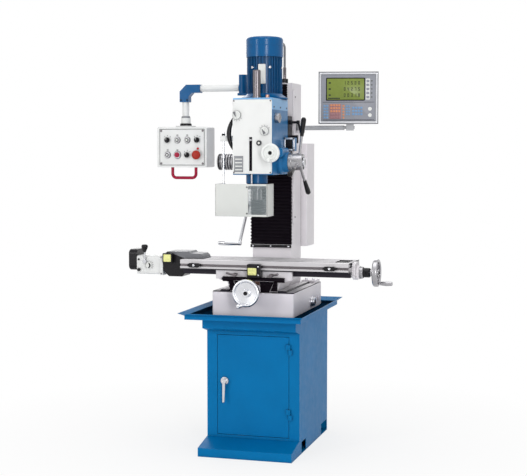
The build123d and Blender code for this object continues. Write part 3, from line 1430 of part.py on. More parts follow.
# Write every piece to its own file
pieces = {
    "cabinet_stand": cabinet_stand,
    "cabinet_door": cabinet_door,
    "door_handle": door_handle,
    "chip_tray": chip_tray,
    "base_casting": base_casting,
    "y_leadscrew": y_leadscrew,
    "y_handwheel": y_handwheel,
    "saddle": saddle,
    "leadscrew_nuts": leadscrew_nuts,
    "limit_switch": limit_switch,
    "y_way_cover": y_way_cover,
    "table_lock_left": table_lock_left,
    "table_lock_right": table_lock_right,
    "table": table,
    "table_end_bracket": table_end_bracket,
    "x_leadscrew": x_leadscrew,
    "x_handwheel": x_handwheel,
    "feed_adaptor": feed_adaptor,
    "feed_housing": feed_housing,
    "feed_motor_cap": feed_motor_cap,
    "feed_lever": feed_lever,
    "feed_dial": feed_dial,
    "column": column,
    "z_scale_cover": z_scale_cover,
    "electrics_box": electrics_box,
    "z_crank": z_crank,
    "z_leadscrew": z_leadscrew,
    "column_bellows": column_bellows,
    "head_slide": head_slide,
    "z_nut": z_nut,
    "head_lock_upper": head_lock_upper,
    "head_lock_lower": head_lock_lower,
    "head_casting": head_casting,
    "gearbox_cover": gearbox_cover,
    "front_plate": front_plate,
    "speed_knob_left": speed_knob_left,
    "speed_knob_right": speed_knob_right,
    "motor_body": motor_body,
    "motor_cowl": motor_cowl,
    "motor_rotor": motor_rotor,
    "drawbar_cap": drawbar_cap,
    "spring_drum": spring_drum,
    "quill": quill,
    "spindle": spindle,
    "depth_stop": depth_stop,
    "capstan": capstan,
    "capstan_grips": capstan_grips,
    "fine_feed_wheel": fine_feed_wheel,
    "chip_guard": chip_guard,
    "pendant_arm": pendant_arm,
    "pendant_box": pendant_box,
    "pendant_handle": pendant_handle,
    "selector_left": selector_left,
    "selector_right": selector_right,
    "selector_lower": selector_lower,
    "start_button": start_button,
    "stop_button": stop_button,
    "emergency_stop": emergency_stop,
    "display_arm": display_arm,
    "display_housing": display_housing,
}
os.makedirs("parts", exist_ok=True)
for name, piece in pieces.items():
    piece.part.label = name
    export_step(piece.part, f"parts/{name}.step")
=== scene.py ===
"""Looks of a mill drill on its cabinet stand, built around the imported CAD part.

Metres. X runs to the right, Y to the back and Z up, as in the part's source.
"""

import json
import math

import bmesh
import bpy
from bpy.props import FloatProperty, FloatVectorProperty, IntProperty, PointerProperty
from mathutils import Matrix, Vector


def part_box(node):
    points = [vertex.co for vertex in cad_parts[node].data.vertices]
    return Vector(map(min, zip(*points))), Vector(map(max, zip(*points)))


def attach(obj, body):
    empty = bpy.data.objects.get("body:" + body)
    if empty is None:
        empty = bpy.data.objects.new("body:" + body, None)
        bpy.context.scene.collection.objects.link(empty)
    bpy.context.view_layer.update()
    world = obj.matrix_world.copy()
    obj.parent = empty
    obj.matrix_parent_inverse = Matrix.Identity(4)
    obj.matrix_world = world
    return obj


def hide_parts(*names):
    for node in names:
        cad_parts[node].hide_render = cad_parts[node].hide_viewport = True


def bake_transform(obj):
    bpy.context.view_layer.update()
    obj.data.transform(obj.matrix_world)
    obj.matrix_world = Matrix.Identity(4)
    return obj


bl_info = {
    "name": "Mill Drill Finish",
    "version": (1, 0, 0),
    "blender": (4, 5, 0),
    "location": "View3D > Sidebar > Mill",
    "description": "Builds the finish, small fittings and studio of a mill drill",
    "category": "Object",
}

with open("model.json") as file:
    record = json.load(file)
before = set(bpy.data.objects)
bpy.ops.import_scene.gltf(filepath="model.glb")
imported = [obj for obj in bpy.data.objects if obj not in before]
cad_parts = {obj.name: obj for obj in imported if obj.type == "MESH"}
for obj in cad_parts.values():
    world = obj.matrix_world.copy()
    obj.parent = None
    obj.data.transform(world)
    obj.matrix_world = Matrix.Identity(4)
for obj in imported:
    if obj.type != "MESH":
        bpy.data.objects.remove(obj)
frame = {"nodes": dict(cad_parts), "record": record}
MM = 0.001
HARD_EDGE = math.radians(35)

# Camera that was fitted to the photograph, in metres and degrees
CAMERA_SPOT = (1.5896, -5.5646, 1.3910)
CAMERA_FAR = 5.95
CAMERA_YAW = 16.03
CAMERA_PITCH = 4.03
CAMERA_LENS = 83.54

# Area lamps: name, place and size in metres, and power in watts
LAMPS = (
    ("key", (-2.8, -4.3, 1.9), (0.7, 2.2), 47),
    ("side", (2.6, -5.0, 1.9), (1.0, 2.4), 107),
    ("top", (0.2, -0.6, 4.8), (3.2, 3.2), 60),
    ("back", (-1.5, 4.2, 2.8), (2.6, 2.6), 40),
)
LAMP_AIM = (0, 0, 1.0)
SKY_LEVEL = 0.46


def linear(code):
    """Linear colour of an sRGB hex code."""
    parts = [int(code[i : i + 2], 16) / 255 for i in (0, 2, 4)]
    return tuple(c / 12.92 if c <= 0.04045 else ((c + 0.055) / 1.055) ** 2.4 for c in parts) + (1.0,)


def shade(colour, factor):
    """Colour made lighter or darker by a factor."""
    return tuple(min(1.0, c * factor) for c in colour[:3]) + (1.0,)


# Settings a user would change


def tint(name, description, code):
    """Colour setting with its default from a hex code."""
    return FloatVectorProperty(
        name=name, description=description, subtype="COLOR", size=4, min=0, max=1, default=linear(code)
    )


def length(name, description, metres):
    """Length setting in metres."""
    return FloatProperty(name=name, description=description, default=metres, min=0, unit="LENGTH")


class MILL_PG_colours(bpy.types.PropertyGroup):
    """Paints and plastics of the machine."""

    stand: tint("Stand blue", "Powder coat of the stand, door and tray", "0070aa")
    machine: tint("Machine blue", "Enamel of the head casting", "1f6ca2")
    # Cover blue is the head's blue painted lighter, as light falling on the head's top
    cover: tint("Cover blue", "Enamel of the gearbox cover", "7fb2de")
    motor: tint("Motor blue", "Enamel of the motor, cowl and arm fittings", "00548a")
    white: tint("Machine white", "Enamel of the front plate, pendant and feed box", "e4e5e4")
    case: tint("Case grey", "Moulded grey of the display", "d2d3d7")
    handle: tint("Handle red", "Plastic of the pendant handle", "a00d36")
    stop: tint("Stop red", "Plastic of the emergency stop", "a42c20")
    screen: tint("Screen green", "Lit background of the display", "78863c")
    switch: tint("Switch cover", "Pale cover of the limit switch", "e7e79a")


class MILL_PG_sizes(bpy.types.PropertyGroup):
    """Sizes of the fittings that the finish adds."""

    pleats: IntProperty(name="Bellows pleats", description="Folds down the column bellows", default=22, min=6)
    sheet: length("Guard sheet", "Thickness of the chip guard's sheet", 0.002)
    conduit: length("Conduit", "Diameter of the bent conduit on the column", 0.011)
    camera_far: length("Camera distance", "Distance from the camera to the machine", CAMERA_FAR)


# Shader helpers


def put(tree, kind, inputs=None, **settings):
    """Add a shader node with its settings, and with a value or a link in each named input."""
    node = tree.nodes.new(kind)
    for name, value in settings.items():
        setattr(node, name, value)
    for socket, value in (inputs or {}).items():
        if isinstance(value, bpy.types.NodeSocket):
            tree.links.new(value, node.inputs[socket])
        else:
            node.inputs[socket].default_value = value
    return node


def blank(name):
    """New material with an empty node tree."""
    material = bpy.data.materials.new(name)
    material.use_nodes = True
    material.node_tree.nodes.clear()
    return material


def close(material, inputs):
    """Give a material its surface shader and output, and return it."""
    tree = material.node_tree
    surface = put(tree, "ShaderNodeBsdfPrincipled", inputs)
    put(tree, "ShaderNodeOutputMaterial", {"Surface": surface.outputs[0]})
    material.diffuse_color = surface.inputs["Base Color"].default_value
    return material


def grain(tree, size, low, high, to=(0.0, 1.0), detail=2.0, stretch=(1, 1, 1)):
    """Noise with grains of about one size in metres: its middle band, spread over a range."""
    place = put(tree, "ShaderNodeTexCoord").outputs["Object"]
    drawn = put(tree, "ShaderNodeMapping", {"Vector": place, "Scale": stretch}).outputs[0]
    noise = put(tree, "ShaderNodeTexNoise", {"Vector": drawn, "Scale": 1 / size, "Detail": detail}).outputs[0]
    band = {"Value": noise, "From Min": low, "From Max": high, "To Min": to[0], "To Max": to[1]}
    return put(tree, "ShaderNodeMapRange", band).outputs[0]


def soft_edge(tree, radius):
    """Normal rounded over hard edges, and how far each point is into such an edge."""
    rounded = put(tree, "ShaderNodeBevel", {"Radius": radius}, samples=6).outputs[0]
    flat = put(tree, "ShaderNodeNewGeometry").outputs["Normal"]
    turn = put(tree, "ShaderNodeVectorMath", {0: rounded, 1: flat}, operation="DOT_PRODUCT").outputs["Value"]
    band = {"Value": turn, "From Min": 0.995, "From Max": 0.80, "To Min": 0.0, "To Max": 1.0}
    return rounded, put(tree, "ShaderNodeMapRange", band).outputs[0]


# Finishes, each named for what the real piece is made of or coated with; some also carry painted light or
# shade

MIX = {"kind": "ShaderNodeMix", "data_type": "RGBA"}


def enamel(name, colour, gloss=0.32, peel=0.06, wear=0.4, under="8d9196", sheen=0.3):
    """Baked enamel: a slightly uneven coat with orange peel, rubbed edges and painted shade in its corners.
    """
    material = blank(name)
    tree = material.node_tree
    # Cloudy drift of the coat over a hand's width
    drift = grain(tree, 0.16, 0.3, 0.7)
    coat = put(tree, inputs={0: drift, 6: shade(colour, 0.95), 7: shade(colour, 1.04)}, **MIX).outputs[2]
    # Painted shade: the coat is darkened where pieces meet and in corners, by ambient occlusion
    corner = put(tree, "ShaderNodeAmbientOcclusion", {"Distance": 0.022}, samples=4).outputs["AO"]
    shade_band = {"Value": corner, "From Min": 0.35, "From Max": 0.85, "To Min": 0.55, "To Max": 0.0}
    shade_amount = put(tree, "ShaderNodeMapRange", shade_band).outputs[0]
    shaded_coat = put(tree, inputs={0: shade_amount, 6: coat, 7: shade(colour, 0.25)}, **MIX).outputs[2]
    # Edges rub through to primer in broken patches
    normal, edge = soft_edge(tree, 0.0018)
    patch = grain(tree, 0.009, 0.46, 0.62, (0.0, wear), 5.0)
    rubbed = put(tree, "ShaderNodeMath", {0: edge, 1: patch}, operation="MULTIPLY").outputs[0]
    # Orange peel, drawn five millimetres across because the real one is too fine to show
    ripple = grain(tree, 0.005, 0.0, 1.0, detail=1.0)
    bump = {"Strength": peel, "Distance": 0.0006, "Height": ripple, "Normal": normal}
    return close(material, {
        "Base Color": put(tree, inputs={0: rubbed, 6: shaded_coat, 7: linear(under)}, **MIX).outputs[2],
        "Roughness": grain(tree, 0.03, 0.35, 0.75, (gloss, gloss + 0.08), 3.0),
        "Normal": put(tree, "ShaderNodeBump", bump).outputs[0],
        "Specular IOR Level": sheen,
    })


def bare_metal(name, colour, rough, lines=(1, 1, 1), line_size=0.006, mark=0.02):
    """Machined metal: tool lines along one axis, stains that dull it in places and a painted highlight on its
    edges.
    """
    material = blank(name)
    tree = material.node_tree
    stain = grain(tree, 0.05, 0.35, 0.7, detail=4.0)
    tone = put(tree, inputs={0: stain, 6: shade(colour, 0.94), 7: shade(colour, 1.03)}, **MIX).outputs[2]
    # Painted highlight: edges are drawn brighter than the metal
    normal, edge = soft_edge(tree, 0.0012)
    # Tool lines, drawn a few millimetres apart because the real ones are too fine to show
    tool = grain(tree, line_size, 0.0, 1.0, stretch=lines)
    bump = {"Strength": mark, "Distance": 0.0003, "Height": tool, "Normal": normal}
    return close(material, {
        "Base Color": put(tree, inputs={0: edge, 6: tone, 7: shade(colour, 1.25)}, **MIX).outputs[2],
        "Metallic": 1.0,
        "Roughness": grain(tree, 0.05, 0.35, 0.7, (rough - 0.04, rough + 0.05), 4.0),
        "Normal": put(tree, "ShaderNodeBump", bump).outputs[0],
    })


def moulding(name, colour, rough, depth=0.05, sheen=0.3):
    """Moulded plastic: fine skin with hand shine in places, and a painted highlight on its edges."""
    material = blank(name)
    tree = material.node_tree
    shine = grain(tree, 0.03, 0.35, 0.7, detail=3.0)
    tone = put(tree, inputs={0: shine, 6: shade(colour, 0.97), 7: shade(colour, 1.03)}, **MIX).outputs[2]
    # Painted highlight: edges are drawn lighter than the plastic
    normal, edge = soft_edge(tree, 0.001)
    skin = grain(tree, 0.0011, 0.0, 1.0)
    bump = {"Strength": depth, "Distance": 0.0004, "Height": skin, "Normal": normal}
    return close(material, {
        "Base Color": put(tree, inputs={0: edge, 6: tone, 7: shade(colour, 1.35)}, **MIX).outputs[2],
        "Roughness": grain(tree, 0.03, 0.35, 0.7, (rough, rough + 0.08), 3.0),
        "Normal": put(tree, "ShaderNodeBump", bump).outputs[0],
        "Specular IOR Level": sheen,
    })


def rubber(name, colour, rough=0.62):
    """Rubbered cloth of covers: matt black, a weave in it and a little grey dust on it."""
    material = blank(name)
    tree = material.node_tree
    dust = grain(tree, 0.04, 0.45, 0.8, (0.0, 0.15), 5.0)
    # Weave, drawn over a millimetre wide because the real one is too fine to show
    weave = grain(tree, 0.0012, 0.0, 1.0, detail=1.0, stretch=(1, 1, 2.2))
    bump = {"Strength": 0.2, "Distance": 0.0004, "Height": weave}
    return close(material, {
        "Base Color": put(tree, inputs={0: dust, 6: colour, 7: linear("2e2b30")}, **MIX).outputs[2],
        "Roughness": grain(tree, 0.04, 0.45, 0.8, (rough, rough + 0.2), 5.0),
        "Normal": put(tree, "ShaderNodeBump", bump).outputs[0],
        "Specular IOR Level": 0.02,
    })


def clear_sheet(name, colour, cover=0.4):
    """Thin clear sheet: smoke grey, with upright wiping marks in its haze."""
    material = blank(name)
    tree = material.node_tree
    return close(material, {
        "Base Color": colour,
        "Roughness": grain(tree, 0.02, 0.4, 0.7, (0.10, 0.16), stretch=(1, 1, 0.1)),
        "Alpha": cover,
    })


def lamp_face(name, colour, glow):
    """Lens or screen: even colour with a slight cloudiness, lit from behind."""
    material = blank(name)
    tree = material.node_tree
    cloud = grain(tree, 0.02, 0.3, 0.7)
    tone = put(tree, inputs={0: cloud, 6: shade(colour, 0.94), 7: shade(colour, 1.05)}, **MIX).outputs[2]
    return close(material, {
        "Base Color": tone,
        "Roughness": 0.26,
        "Emission Color": tone,
        "Emission Strength": glow,
        "Specular IOR Level": 0.25,
    })


# Modelling helpers: every span, place and size in these is in millimetres

LAY = {
    "X": Matrix(((0, 0, 1, 0), (1, 0, 0, 0), (0, 1, 0, 0), (0, 0, 0, 1))),
    "Y": Matrix(((1, 0, 0, 0), (0, 0, 1, 0), (0, 1, 0, 0), (0, 0, 0, 1))),
    "Z": Matrix.Identity(4),
}


def join(piece, part, place, slot):
    """Put a finished part into a piece at its place, with the slot of its material."""
    bmesh.ops.remove_doubles(part, verts=part.verts, dist=1e-6)
    bmesh.ops.transform(part, matrix=place, verts=part.verts)
    bmesh.ops.recalc_face_normals(part, faces=part.faces)
    for face in part.faces:
        face.material_index = slot
        face.smooth = True
    scrap = bpy.data.meshes.new("scrap")
    part.to_mesh(scrap)
    part.free()
    piece.from_mesh(scrap)
    bpy.data.meshes.remove(scrap)


def round_edges(part, radius):
    """Round every edge of a part."""
    if radius:
        bmesh.ops.bevel(
            part, geom=part.edges[:], offset=radius * MM, segments=2, profile=0.5,
            affect="EDGES", material=-1, clamp_overlap=True,
        )


def block(piece, x, y, z, slot=0, radius=0.0, place=Matrix.Identity(4)):
    """Block over three spans with rounded edges."""
    spans = (x, y, z)
    middle = Vector([sum(span) / 2 * MM for span in spans])
    size = Matrix.Diagonal([(span[1] - span[0]) * MM for span in spans] + [1])
    part = bmesh.new()
    bmesh.ops.create_cube(part, size=1, matrix=Matrix.Translation(middle) @ size)
    round_edges(part, radius)
    join(piece, part, place, slot)


def border(piece, x, y, z, wide, slot=0, place=Matrix.Identity(4)):
    """Four flat bars along the inner edge of a rectangle."""
    for span_x, span_z in (
        ((x[0], x[0] + wide), z), ((x[1] - wide, x[1]), z),
        (x, (z[0], z[0] + wide)), (x, (z[1] - wide, z[1])),
    ):
        block(piece, span_x, y, span_z, slot, 0.2, place)


def plate(piece, axis, outline, span, slot=0, radius=0.0, place=Matrix.Identity(4)):
    """Plate with a drawn outline, pushed along an axis over a span."""
    part = bmesh.new()
    corners = [part.verts.new((u * MM, v * MM, span[0] * MM)) for u, v in outline]
    grown = bmesh.ops.extrude_face_region(part, geom=[part.faces.new(corners)])
    moved = [item for item in grown["geom"] if isinstance(item, bmesh.types.BMVert)]
    bmesh.ops.translate(part, verts=moved, vec=(0, 0, (span[1] - span[0]) * MM))
    round_edges(part, radius)
    join(piece, part, place @ LAY[axis], slot)


def turned(piece, axis, a, b, outline, slot=0, steps=40, place=Matrix.Identity(4)):
    """Turned form: an outline of (radius, place along) spun about an axis through (a, b)."""
    part = bmesh.new()
    chain = [part.verts.new((r * MM, 0, along * MM)) for r, along in outline]
    edges = [part.edges.new(pair) for pair in zip(chain, chain[1:])]
    bmesh.ops.spin(
        part, geom=chain + edges, cent=(0, 0, 0), axis=(0, 0, 1), angle=math.tau, steps=steps, use_merge=True
    )
    join(piece, part, place @ LAY[axis] @ Matrix.Translation((a * MM, b * MM, 0)), slot)


def tube(piece, points, radius, slot=0, sides=16, place=Matrix.Identity(4)):
    """Round bar that follows points, with closed ends; radius may differ at each point."""
    part = bmesh.new()
    spots = [Vector(point) * MM for point in points]
    sizes = radius if isinstance(radius, (list, tuple)) else [radius] * len(spots)
    turn = None
    rings = []
    for i, spot in enumerate(spots):
        ahead = (spots[min(i + 1, len(spots) - 1)] - spots[max(i - 1, 0)]).normalized()
        up = Vector((0, 0, 1)) if turn is None else turn @ Vector((0, 0, 1))
        step = up.rotation_difference(ahead).to_matrix()
        turn = step if turn is None else step @ turn
        matrix = Matrix.Translation(spot) @ turn.to_4x4()
        made = bmesh.ops.create_circle(
            part, segments=sides, radius=sizes[i] * MM, matrix=matrix, cap_ends=i in (0, len(spots) - 1)
        )
        ring = {edge for vert in made["verts"] for edge in vert.link_edges}
        rings.append([edge for edge in ring if all(vert in made["verts"] for vert in edge.verts)])
    for near, far in zip(rings, rings[1:]):
        bmesh.ops.bridge_loops(part, edges=near + far)
    join(piece, part, place, slot)


def arc(centre, radius, start, end, count):
    """Points on an arc, angles in degrees."""
    angles = [math.radians(start + (end - start) * i / (count - 1)) for i in range(count)]
    return [(centre[0] + radius * math.cos(t), centre[1] + radius * math.sin(t)) for t in angles]


def rounded_box(u, v, radius):
    """Outline of a rectangle with round corners."""
    corners = [(u[1], v[1], 0), (u[0], v[1], 90), (u[0], v[0], 180), (u[1], v[0], 270)]
    outline = []
    for cu, cv, start in corners:
        middle = (cu - radius if cu == u[1] else cu + radius, cv - radius if cv == v[1] else cv + radius)
        outline += arc(middle, radius, start, start + 90, 5)
    return outline


def screws(piece, axis, spots, face, out, d=10.0, slot=0, place=Matrix.Identity(4)):
    """Socket head screws seated on a face, standing out along the axis."""
    r = d / 2
    rise = 0.55 * d * out
    outline = [
        (0, face + 0.35 * rise), (0.5 * r, face + 0.35 * rise), (0.5 * r, face + rise),
        (0.86 * r, face + rise), (r, face + 0.86 * rise), (r, face - 0.1 * rise), (0, face - 0.1 * rise),
    ]
    for a, b in spots:
        turned(piece, axis, a, b, outline, slot, 18, place)


def ticks(piece, axis, a, b, radius, span, count):
    """Graduation lines round a dial, every fifth one longer."""
    for i in range(count):
        reach = (span[1] - span[0]) * (1.0 if i % 5 == 0 else 1 / 1.6)
        turn = Matrix.Translation((a * MM, b * MM, 0)) @ Matrix.Rotation(math.tau * i / count, 4, "Z")
        block(
            piece, (radius - 0.3, radius + 0.15), (-0.25, 0.25), (span[0], span[0] + reach),
            place=LAY[axis] @ turn,
        )


def dial_marks(piece, axis, a, b, face, out, radii, start, end, count, slot=0, width=1.0):
    """Flat marks on a face, fanned round a knob."""
    for i in range(count):
        angle = math.radians(start + (end - start) * i / (count - 1))
        turn = Matrix.Translation((a * MM, b * MM, 0)) @ Matrix.Rotation(angle, 4, "Z")
        span = sorted((face - 0.2 * out, face + 0.25 * out))
        block(piece, radii, (-width / 2, width / 2), span, slot, 0, LAY[axis] @ turn)


def finish_piece(name, piece, body, materials, replaces=(), blend=None):
    """Make the object of a piece, give it its materials, and let it ride on its body."""
    mesh = bpy.data.meshes.new(name)
    piece.to_mesh(mesh)
    piece.free()
    for material in materials:
        mesh.materials.append(bpy.data.materials[material])
    mesh.set_sharp_from_angle(angle=HARD_EDGE)
    made = bpy.data.objects.new(name, mesh)
    bpy.context.scene.collection.objects.link(made)
    if blend:
        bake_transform(made)
    else:
        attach(made, body)
    if replaces:
        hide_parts(*replaces)


def span_of(node):
    """Spans of a CAD node along X, Y and Z in millimetres."""
    low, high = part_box(node)
    return [(low[i] / MM, high[i] / MM) for i in range(3)]


def joint(name):
    """Joint of the record by its name."""
    return next(item for item in frame["record"]["behaviour"]["joints"] if item["name"] == name)


def pivot(name):
    """Place of a joint in millimetres."""
    return [value / MM for value in joint(name)["pos_m"]]


def paint(node, finish, x=None, y=None, z=None):
    """Give another finish to the faces of a CAD node whose middles lie inside the given spans."""
    mesh = frame["nodes"][node].data
    slot = len(mesh.materials)
    mesh.materials.append(bpy.data.materials[finish])
    spans = [span for span in enumerate((x, y, z)) if span[1]]
    for face in mesh.polygons:
        if all(low <= face.center[i] / MM <= high for i, (low, high) in spans):
            face.material_index = slot


# Which finish each CAD node has

FINISHES = {
    "stand_powder_coat": ("cabinet_stand", "cabinet_door", "chip_tray"),
    "head_enamel": ("head_casting",),
    "cover_enamel": ("gearbox_cover",),
    "motor_enamel": ("motor_body", "motor_cowl", "pendant_arm"),
    "white_enamel": ("front_plate", "pendant_box", "feed_housing"),
    "column_enamel": ("saddle", "table_end_bracket", "column", "z_scale_cover", "electrics_box"),
    "base_enamel": ("base_casting",),
    "guard_enamel": ("chip_guard",),
    "grey_moulding": ("display_housing",),
    "pale_enamel": ("display_arm",),
    "ground_iron": ("table",),
    "ground_steel": (
        "quill", "spindle", "depth_stop", "motor_rotor", "capstan", "x_handwheel", "spring_drum",
    ),
    "dark_steel": ("drawbar_cap", "table_lock_left", "table_lock_right"),
    "lead_screw_steel": ("x_leadscrew", "y_leadscrew", "z_leadscrew"),
    "satin_aluminium": ("y_handwheel",),
    "cream_nylon": ("fine_feed_wheel", "speed_knob_left", "speed_knob_right"),
    "chrome": ("door_handle", "z_crank"),
    "blackened_iron": ("head_slide",),
    "black_nylon": (
        "limit_switch", "capstan_grips", "feed_adaptor", "feed_motor_cap", "feed_lever", "y_way_cover",
        "selector_left", "selector_right", "selector_lower", "head_lock_upper", "head_lock_lower",
    ),
    "nut_bronze": ("leadscrew_nuts", "z_nut"),
    "rubbered_cloth": ("column_bellows",),
    "handle_plastic": ("pendant_handle",),
    "stop_plastic": ("emergency_stop",),
    "crimson_plastic": ("stop_button",),
    "white_plastic": ("start_button", "feed_dial"),
}


class MILL_OT_finish(bpy.types.Operator):
    """Make the finishes and give each CAD node the one that its real piece has, some with painted light or
    shade
    """

    bl_idname = "mill.finish"
    bl_label = "Finish castings and fittings"

    def execute(self, context):
        """Build every material, then hand them to the nodes."""
        tints = context.scene.mill_colours
        # Powder coat: deep even blue that greys where it is seen along
        coat = {"peel": 0.10, "wear": 0.35, "under": "6f8ba3"}
        enamel("stand_powder_coat", tints.stand[:], gloss=0.38, sheen=0.09, **coat)
        # Painted shade on the tray's inside: the same coat, nearly black
        tray_shade = {"peel": 0.04, "wear": 0.1, "under": "2a4a63"}
        enamel("oiled_powder_coat", linear("0a263d"), gloss=0.5, sheen=0.0, **tray_shade)
        # Castings of the head: glossy blue with paler rubbed edges
        enamel("head_enamel", tints.machine[:], gloss=0.30, peel=0.08, wear=0.4, under="7fa0ba", sheen=0.2)
        # Sheet cover over the gears: the same blue painted lighter, as light falling on the head's top
        enamel("cover_enamel", tints.cover[:], gloss=0.32, peel=0.06, wear=0.4, under="a9c1d6", sheen=0.25)
        # Motor and arm fittings: darkest blue, with bright lines along the fins; also painted as shade on the
        # head's quill boss
        enamel("motor_enamel", tints.motor[:], gloss=0.18, peel=0.06, wear=0.35, under="5d86ad", sheen=0.22)
        # Machine white: quiet off-white with grey corners
        enamel("white_enamel", tints.white[:], gloss=0.36, peel=0.07, wear=0.3, under="a9aaac", sheen=0.3)
        # Base: the same white, painted lighter as light to offset the shade under the table, and a little
        # warmer
        enamel("base_enamel", linear("ede8ee"), gloss=0.36, peel=0.07, wear=0.3, under="aaa7ab", sheen=0.3)
        # Column and saddle: a warm white, greyer than the base
        enamel("column_enamel", linear("e5e1e5"), gloss=0.36, peel=0.07, wear=0.3, under="a9a6a9", sheen=0.3)
        # Guard sheet: a greyer white than the castings
        enamel("guard_enamel", linear("d2d4d1"), gloss=0.36, peel=0.07, wear=0.3, under="a9aaac", sheen=0.3)
        # Plain greys of the display's arm, small plates and the feed's stepped cover; the slate grey also
        # draws painted shade round the display's edge and panel, and the plain grey a ring of painted shade
        # round each speed knob
        enamel("grey_enamel", linear("8e9094"), gloss=0.35, peel=0.06, wear=0.4)
        enamel("pale_enamel", linear("b4b5b8"), gloss=0.35, peel=0.06, wear=0.4)
        enamel("slate_enamel", linear("727377"), gloss=0.35, peel=0.06, wear=0.4, under="8d9196", sheen=0.2)
        # Table: grinding lines run along it and stretch the reflections
        bare_metal("ground_iron", linear("bfbdbf"), 0.60, lines=(0.02, 1, 1))
        # Table top: painted light, paler than its sides as a top lit from above, and duller
        bare_metal("planed_iron", linear("d8d6d8"), 0.72, lines=(0.02, 1, 1))
        # Turned steel: bright, with soft reflections round it
        bare_metal("ground_steel", linear("a9a8ab"), 0.28, lines=(1, 1, 0.4))
        # Steel left dark by oil and handling; also painted as shade into the table's dog groove
        bare_metal("dark_steel", linear("6e696c"), 0.30, lines=(1, 1, 0.1), line_size=0.006, mark=0.03)
        # Rolled threads: mid grey, a little rough
        bare_metal("lead_screw_steel", linear("8f9093"), 0.30, line_size=0.004, mark=0.10)
        # Wheels and knobs: pale and silky
        bare_metal("satin_aluminium", linear("dddee2"), 0.30, line_size=0.008, mark=0.01)
        # Plated handles: nearly a mirror
        bare_metal("chrome", linear("cfd0d4"), 0.14, line_size=0.012, mark=0.005)
        # Oiled cast iron of the head slide: near black, dull; also painted as shade into the table's slots
        # and underside and onto the base rails' flanks
        bare_metal("blackened_iron", linear("2c2a30"), 0.48, lines=(1, 1, 0.3), line_size=0.004, mark=0.08)
        # Nuts and filler plug: a warm, brownish metal
        bare_metal("nut_bronze", linear("ab8676"), 0.34, line_size=0.004, mark=0.05)
        # Grips, switches and covers: black with a soft shine; also the painted shade in the spring drum's
        # grooves and the base plug's hollow
        moulding("black_nylon", linear("19181b"), 0.24, depth=0.06, sheen=0.2)
        # Case of the display and the panel sunk in it
        moulding("grey_moulding", tints.case[:], 0.40, depth=0.10)
        moulding("panel_grey", linear("8d8f97"), 0.42)
        # Pulls and pushes: clear strong colours with a wet shine
        moulding("handle_plastic", tints.handle[:], 0.28, depth=0.05, sheen=0.2)
        moulding("stop_plastic", tints.stop[:], 0.28, depth=0.05, sheen=0.2)
        moulding("crimson_plastic", linear("9a1436"), 0.28, depth=0.05, sheen=0.2)
        moulding("white_plastic", linear("dedfdc"), 0.28)
        # Knobs and the fine feed wheel: nearly white, less shiny
        moulding("cream_nylon", linear("e6e8e6"), 0.34, depth=0.04, sheen=0.25)
        # Switch covers: pale yellow, plain and dull
        moulding("pale_cover", tints.switch[:], 0.40)
        # Print on plates and dials: flat dark grey
        moulding("mark_ink", linear("2b2d32"), 0.6, depth=0.02, sheen=0.1)
        # Keys of the display: muted prints under one clear film
        moulding("key_blue", linear("6f95bd"), 0.45)
        moulding("key_salmon", linear("cf8a62"), 0.45)
        moulding("key_mauve", linear("9b7377"), 0.45)
        # Folded covers: matt black cloth; the same cloth also makes the painted shade in the depth slot
        rubber("rubbered_cloth", linear("19141a"))
        # Guard window: smoky, with the spindle seen through it
        clear_sheet("clear_polycarbonate", linear("879093"), 0.42)
        # Oil sight: pale glass over oil
        clear_sheet("sight_glass", linear("e2e2dc"), 0.92)
        # Screen and lamps: even colour that seems lit
        lamp_face("lit_screen", tints.screen[:], 0.03)
        lamp_face("lamp_white", linear("dfe2dc"), 0.03)
        lamp_face("lamp_red", linear("b80f22"), 0.08)
        # Figures of the screen: dark olive
        lamp_face("screen_ink", linear("232b12"), 0.0)
        for finish, nodes in FINISHES.items():
            for node in nodes:
                mesh = frame["nodes"][node].data
                mesh.materials.clear()
                mesh.materials.append(bpy.data.materials[finish])
        return {"FINISHED"}


def pleated(piece, half, y, z, pleats, slot=0):
    """Folded cover between two spans: rounded pleats whose ends tuck in, with closed sides."""
    fold = (1.0, 0.72, 0.16, 0.0, 0.16, 0.72)
    rows = pleats * len(fold)
    part = bmesh.new()
    bmesh.ops.create_grid(part, x_segments=20, y_segments=rows, size=1)
    wide = max(vert.co.x for vert in part.verts)
    for vert in part.verts:
        across = vert.co.x / wide
        up = (vert.co.y / wide + 1) / 2
        depth = fold[round(up * rows) % len(fold)]
        tuck = max(0.0, abs(across) - 0.9) * 10 * depth
        x = across * (half - 2.5 * tuck)
        vert.co = Vector((x, y[0] + (y[1] - y[0]) * depth, z[0] + (z[1] - z[0]) * up)) * MM
    rim = [edge for edge in part.edges if edge.is_boundary]
    grown = bmesh.ops.extrude_edge_only(part, edges=rim)
    for item in grown["geom"]:
        if isinstance(item, bmesh.types.BMVert):
            item.co.y = (y[1] + 3.5) * MM
    join(piece, part, Matrix.Identity(4), slot)


